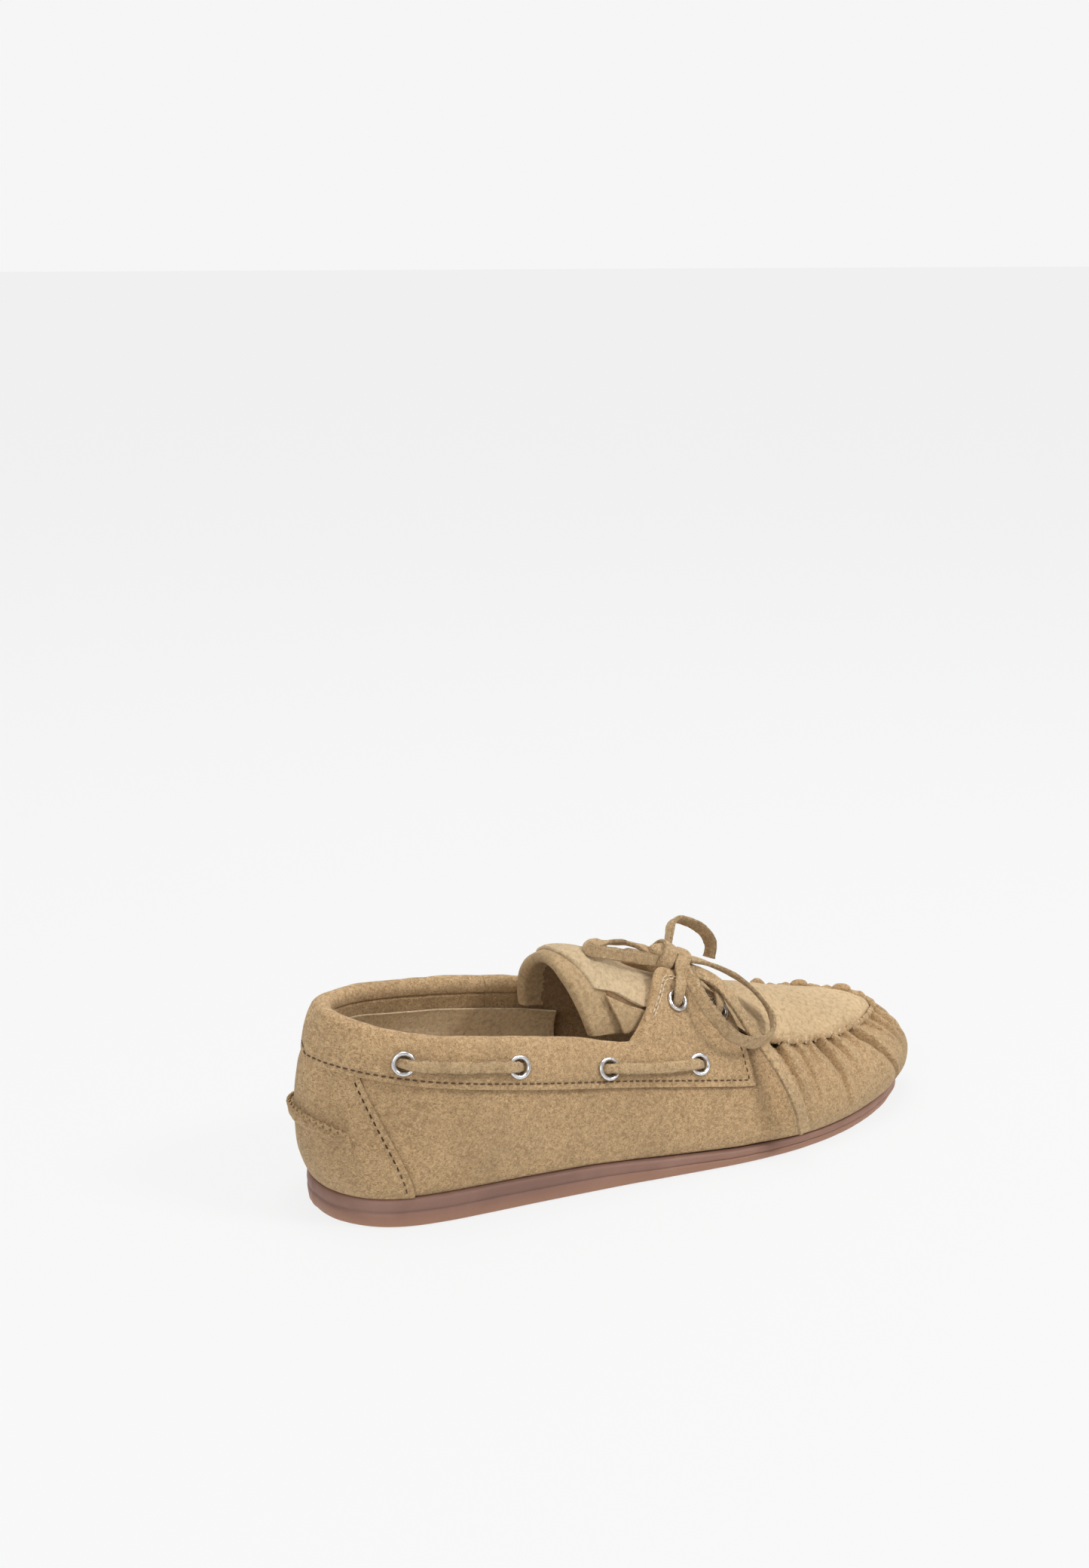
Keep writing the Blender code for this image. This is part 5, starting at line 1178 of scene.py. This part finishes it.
def bow_ups(points, tilt, centre=None):
    """Faces of a lace bent on edge: outwards from the bend's centre, leaning by tilt degrees towards the bow's open side."""
    p = np.asarray(points, float)
    c = p.mean(0) if centre is None else np.asarray(centre, float)
    plane = np.linalg.svd(p - p.mean(0))[2][2]
    radial = p - c
    radial = unit(radial - np.outer(radial @ plane, plane))
    t = math.radians(tilt)
    return unit(radial * math.cos(t) + FACING_OUT * math.sin(t))


LOOP_FRONT = [(142.6, -7.4, 70.2), (146.6, -8.2, 69.6), (152.0, -9.5, 67.8), (162.6, -12.0, 62.1), (170.8, -15.0, 54.7), (173.9, -19.5, 48.5), (171.7, -25.5, 45.5), (166.5, -31.2, 44.2),
              (159.6, -34.2, 44.0), (153.2, -35.4, 46.0), (147.1, -34.5, 49.8), (143.2, -30.5, 55.5), (141.2, -24.5, 60.9), (141.4, -18.5, 64.6), (141.4, -13.0, 67.2), (141.0, -8.5, 69.4)]
LOOP_REAR = [(134.0, -3.2, 71.8), (130.0, -1.0, 74.4), (126.2, 0.6, 76.0), (122.1, 0.8, 77.3), (112.8, -2.0, 79.6), (104.9, -5.0, 80.6), (104.8, -8.4, 80.0), (112.6, -9.4, 77.8), (121.5, -8.7, 75.0), (128.0, -7.8, 72.6), (133.0, -6.6, 70.6)]
END_MEDIAL = [(140.6, -0.6, 72.4), (142.4, 1.6, 74.2), (144.8, 4.5, 77.0), (146.4, 6.5, 78.7), (150.1, 9.0, 79.4), (155.7, 10.5, 77.3), (161.5, 11.5, 73.9), (166.3, 12.5, 69.1), (168.1, 13.0, 64.6), (167.4, 13.0, 60.4)]
END_LATERAL = [(142.6, -9.0, 67.6), (145.4, -10.6, 66.2), (149.0, -12.4, 64.6), (153.4, -15.4, 61.6), (157.6, -21.2, 54.4), (161.2, -28.0, 45.6), (163.3, -35.4, 40.2), (164.9, -42.4, 34.2), (167.2, -46.6, 27.2), (169.5, -48.0, 20.1), (171.4, -47.9, 12.3)]
up_end = [(0.2, -0.9, 0.7), (0.2, -0.9, 0.7), (0.3, -0.9, 0.7), (0.4, -0.9, 0.7), (0.4, -1, 0.7), (0.2, -0.8, 1), (0.2, -0.9, 0.9), (0.2, -1, 0.5), (0.2, -1, 0.3), (0.15, -1, 0.15), (0.15, -1, 0.05)]
free = {
    "lace_loop_front": (LOOP_FRONT, bow_ups(LOOP_FRONT, 34), 5.0, "object"),
    "lace_loop_rear": (LOOP_REAR, bow_ups(LOOP_REAR, 40), 4.6, "object"),
    "lace_end_medial": (END_MEDIAL, bow_ups(END_MEDIAL, -28, (155.0, 8.0, 66.0)), 4.8, "bare"),
    "lace_end_lateral": (END_LATERAL, up_end, 5.2, "bare"),
}
for name, (points, ups, width, end) in free.items():
    piece, p, length = lace("visual_" + name, points, ups, width, thick=1.8, step=0.6, crease=0.28)
    put(piece, "shoe", name, slot="lace_leather")

# ------------------------------------------------------------------ stitching
def band_row(side, index, from_low=None, from_edge=None):
    path, n, tag, length = bands[side]
    off = band_offset[side]
    out, nn = [], []
    for i in index:
        a_ = from_low if from_low is not None else length[i] - from_edge
        q = a_ / length[i] * NP_
        j = int(min(max(q, 0), NP_ - 1))
        u = q - j
        out.append((path[i, j] + n[i, j] * off[i, j]) * (1 - u) + (path[i, j + 1] + n[i, j + 1] * off[i, j + 1]) * u)
        nn.append(n[i, j])
    return np.array(out), np.array(nn)


runs, pale = [], []
for side, cols in (("lateral", lat_cols), ("medial", med_cols)):
    s, _ = station(cols)
    ok = np.nonzero(s < FRONT - 0.2)[0]
    p, n = band_row(side, ok, from_low=2.3)
    runs += stitch_runs(p, n, length=1.55, gap=1.1, radius=0.27, proud=0.2)
    end = int(np.argmin(np.abs(s - (FRONT - 0.22))))
    path, n_, tag, length = bands[side]
    a_ = np.linspace(2.3, length[end] * 0.62, 60)
    q = a_ / length[end] * NP_
    j = np.minimum(q.astype(int), NP_ - 1)
    u = (q - j)[:, None]
    pp = path[end] + n_[end] * band_offset[side][end][:, None]
    runs += stitch_runs(pp[j] * (1 - u) + pp[j + 1] * u, n_[end][j], length=1.4, gap=1.2, radius=0.24, proud=0.17)
    fc_ = np.nonzero((s > BASE + 1.3) & (s < FRONT - 0.3) & ((cols < HEEL) == (side == "lateral")))[0]
    for d in (2.7, 4.1):
        p, n = band_row(side, fc_, from_edge=d)
        pale += stitch_runs(p, n, length=1.9, gap=0.7, radius=0.27, proud=0.26)
for sgn in (-1, 1):
    c_ = HEEL + sgn * (3.27 - 0.2)
    r_ = np.linspace(0.3, 3.95, 90)
    p = surf(np.full(90, c_), r_, 0.2)
    und = 0.25 * lumps(surf(np.full(90, c_), r_), 34) * smoothstep(r_, 0.0, 1.2) + 0.12 * lumps(surf(np.full(90, c_), r_), 9, 1) * smoothstep(r_, 0.0, 1.2)
    n = norm(np.full(90, c_), r_)
    runs += stitch_runs(p + n * und[:, None], n, length=1.6, gap=1.35, radius=0.27, proud=0.2)
    name = "lateral" if sgn < 0 else "medial"
    if sgn < 0:
        put(many_tubes("visual_counter_thread_lateral", runs[-12:], THREAD_DARK), "shoe", "counter_thread_lateral", slot="thread")
    else:
        put(many_tubes("visual_counter_thread_medial", runs[-12:], THREAD_DARK), "shoe", "counter_thread_medial", slot="thread")
put(many_tubes("visual_collar_band_thread", runs, THREAD_DARK), "shoe", "collar_band_thread", slot="thread")
half = len(pale) // 2
put(many_tubes("visual_facing_thread_lateral", pale[:half], THREAD_PALE), "shoe", "facing_thread_lateral", slot="thread")
put(many_tubes("visual_facing_thread_medial", pale[half:], THREAD_PALE), "shoe", "facing_thread_medial", slot="thread")

# ------------------------------------------------------------------ floor, light and background
WORLD_FILL = 0.50
floor_mat = bpy.data.materials.new("floor")
floor_mat.use_nodes = True
nt = floor_mat.node_tree
bs = nt.nodes["Principled BSDF"]
bs.inputs["Base Color"].default_value = (0.095, 0.095, 0.095, 1)
bs.inputs["Roughness"].default_value = 1.0
bs.inputs["Specular IOR Level"].default_value = 0.0
bs.inputs["Emission Color"].default_value = (1, 1, 1, 1)
bs.inputs["Emission Strength"].default_value = 0.82
fm = bpy.data.meshes.new("floor")
fm.from_pydata([(-30, -30, 0), (30, -30, 0), (30, 30, 0), (-30, 30, 0)], [], [(0, 1, 2, 3)])
fm.materials.append(floor_mat)
floor = bpy.data.objects.new("floor", fm)
bpy.context.scene.collection.objects.link(floor)

world = bpy.context.scene.world or bpy.data.worlds.new("world")
bpy.context.scene.world = world
world.use_nodes = True
wt = world.node_tree
bg = wt.nodes["Background"]
look = wt.nodes.new("ShaderNodeTexCoord")
dot = wt.nodes.new("ShaderNodeVectorMath")
dot.operation = "DOT_PRODUCT"
wt.links.new(look.outputs["Generated"], dot.inputs[0])
dot.inputs[1].default_value = (0.457, 0.889, 0.0)
span = wt.nodes.new("ShaderNodeMapRange")
span.interpolation_type = "SMOOTHSTEP"
span.inputs["From Min"].default_value, span.inputs["From Max"].default_value = 0.55, 0.93
span.inputs["To Min"].default_value, span.inputs["To Max"].default_value = WORLD_FILL, 0.92
wt.links.new(dot.outputs["Value"], span.inputs["Value"])
wt.links.new(span.outputs["Result"], bg.inputs["Strength"])
bg.inputs["Color"].default_value = (1, 1, 1, 1)


def area(name, where, to, size, power):
    data = bpy.data.lights.new(name, "AREA")
    data.shape, data.size, data.energy = "DISK", size, power
    obj = bpy.data.objects.new(name, data)
    obj.location = where
    obj.rotation_euler = (Vector(where) - Vector(to)).to_track_quat("Z", "Y").to_euler()
    bpy.context.scene.collection.objects.link(obj)


area("key", (0.8, -0.85, 1.15), (0, 0, 0.04), 0.45, 11.5)
area("fill", (-1.1, -0.8, 0.8), (0, 0, 0.04), 0.9, 5.6)
area("top", (-0.05, 0.1, 1.5), (0, 0, 0.04), 0.9, 8.0)

bpy.context.scene.view_settings.view_transform = "Standard"
bpy.context.scene.view_settings.look = "None"
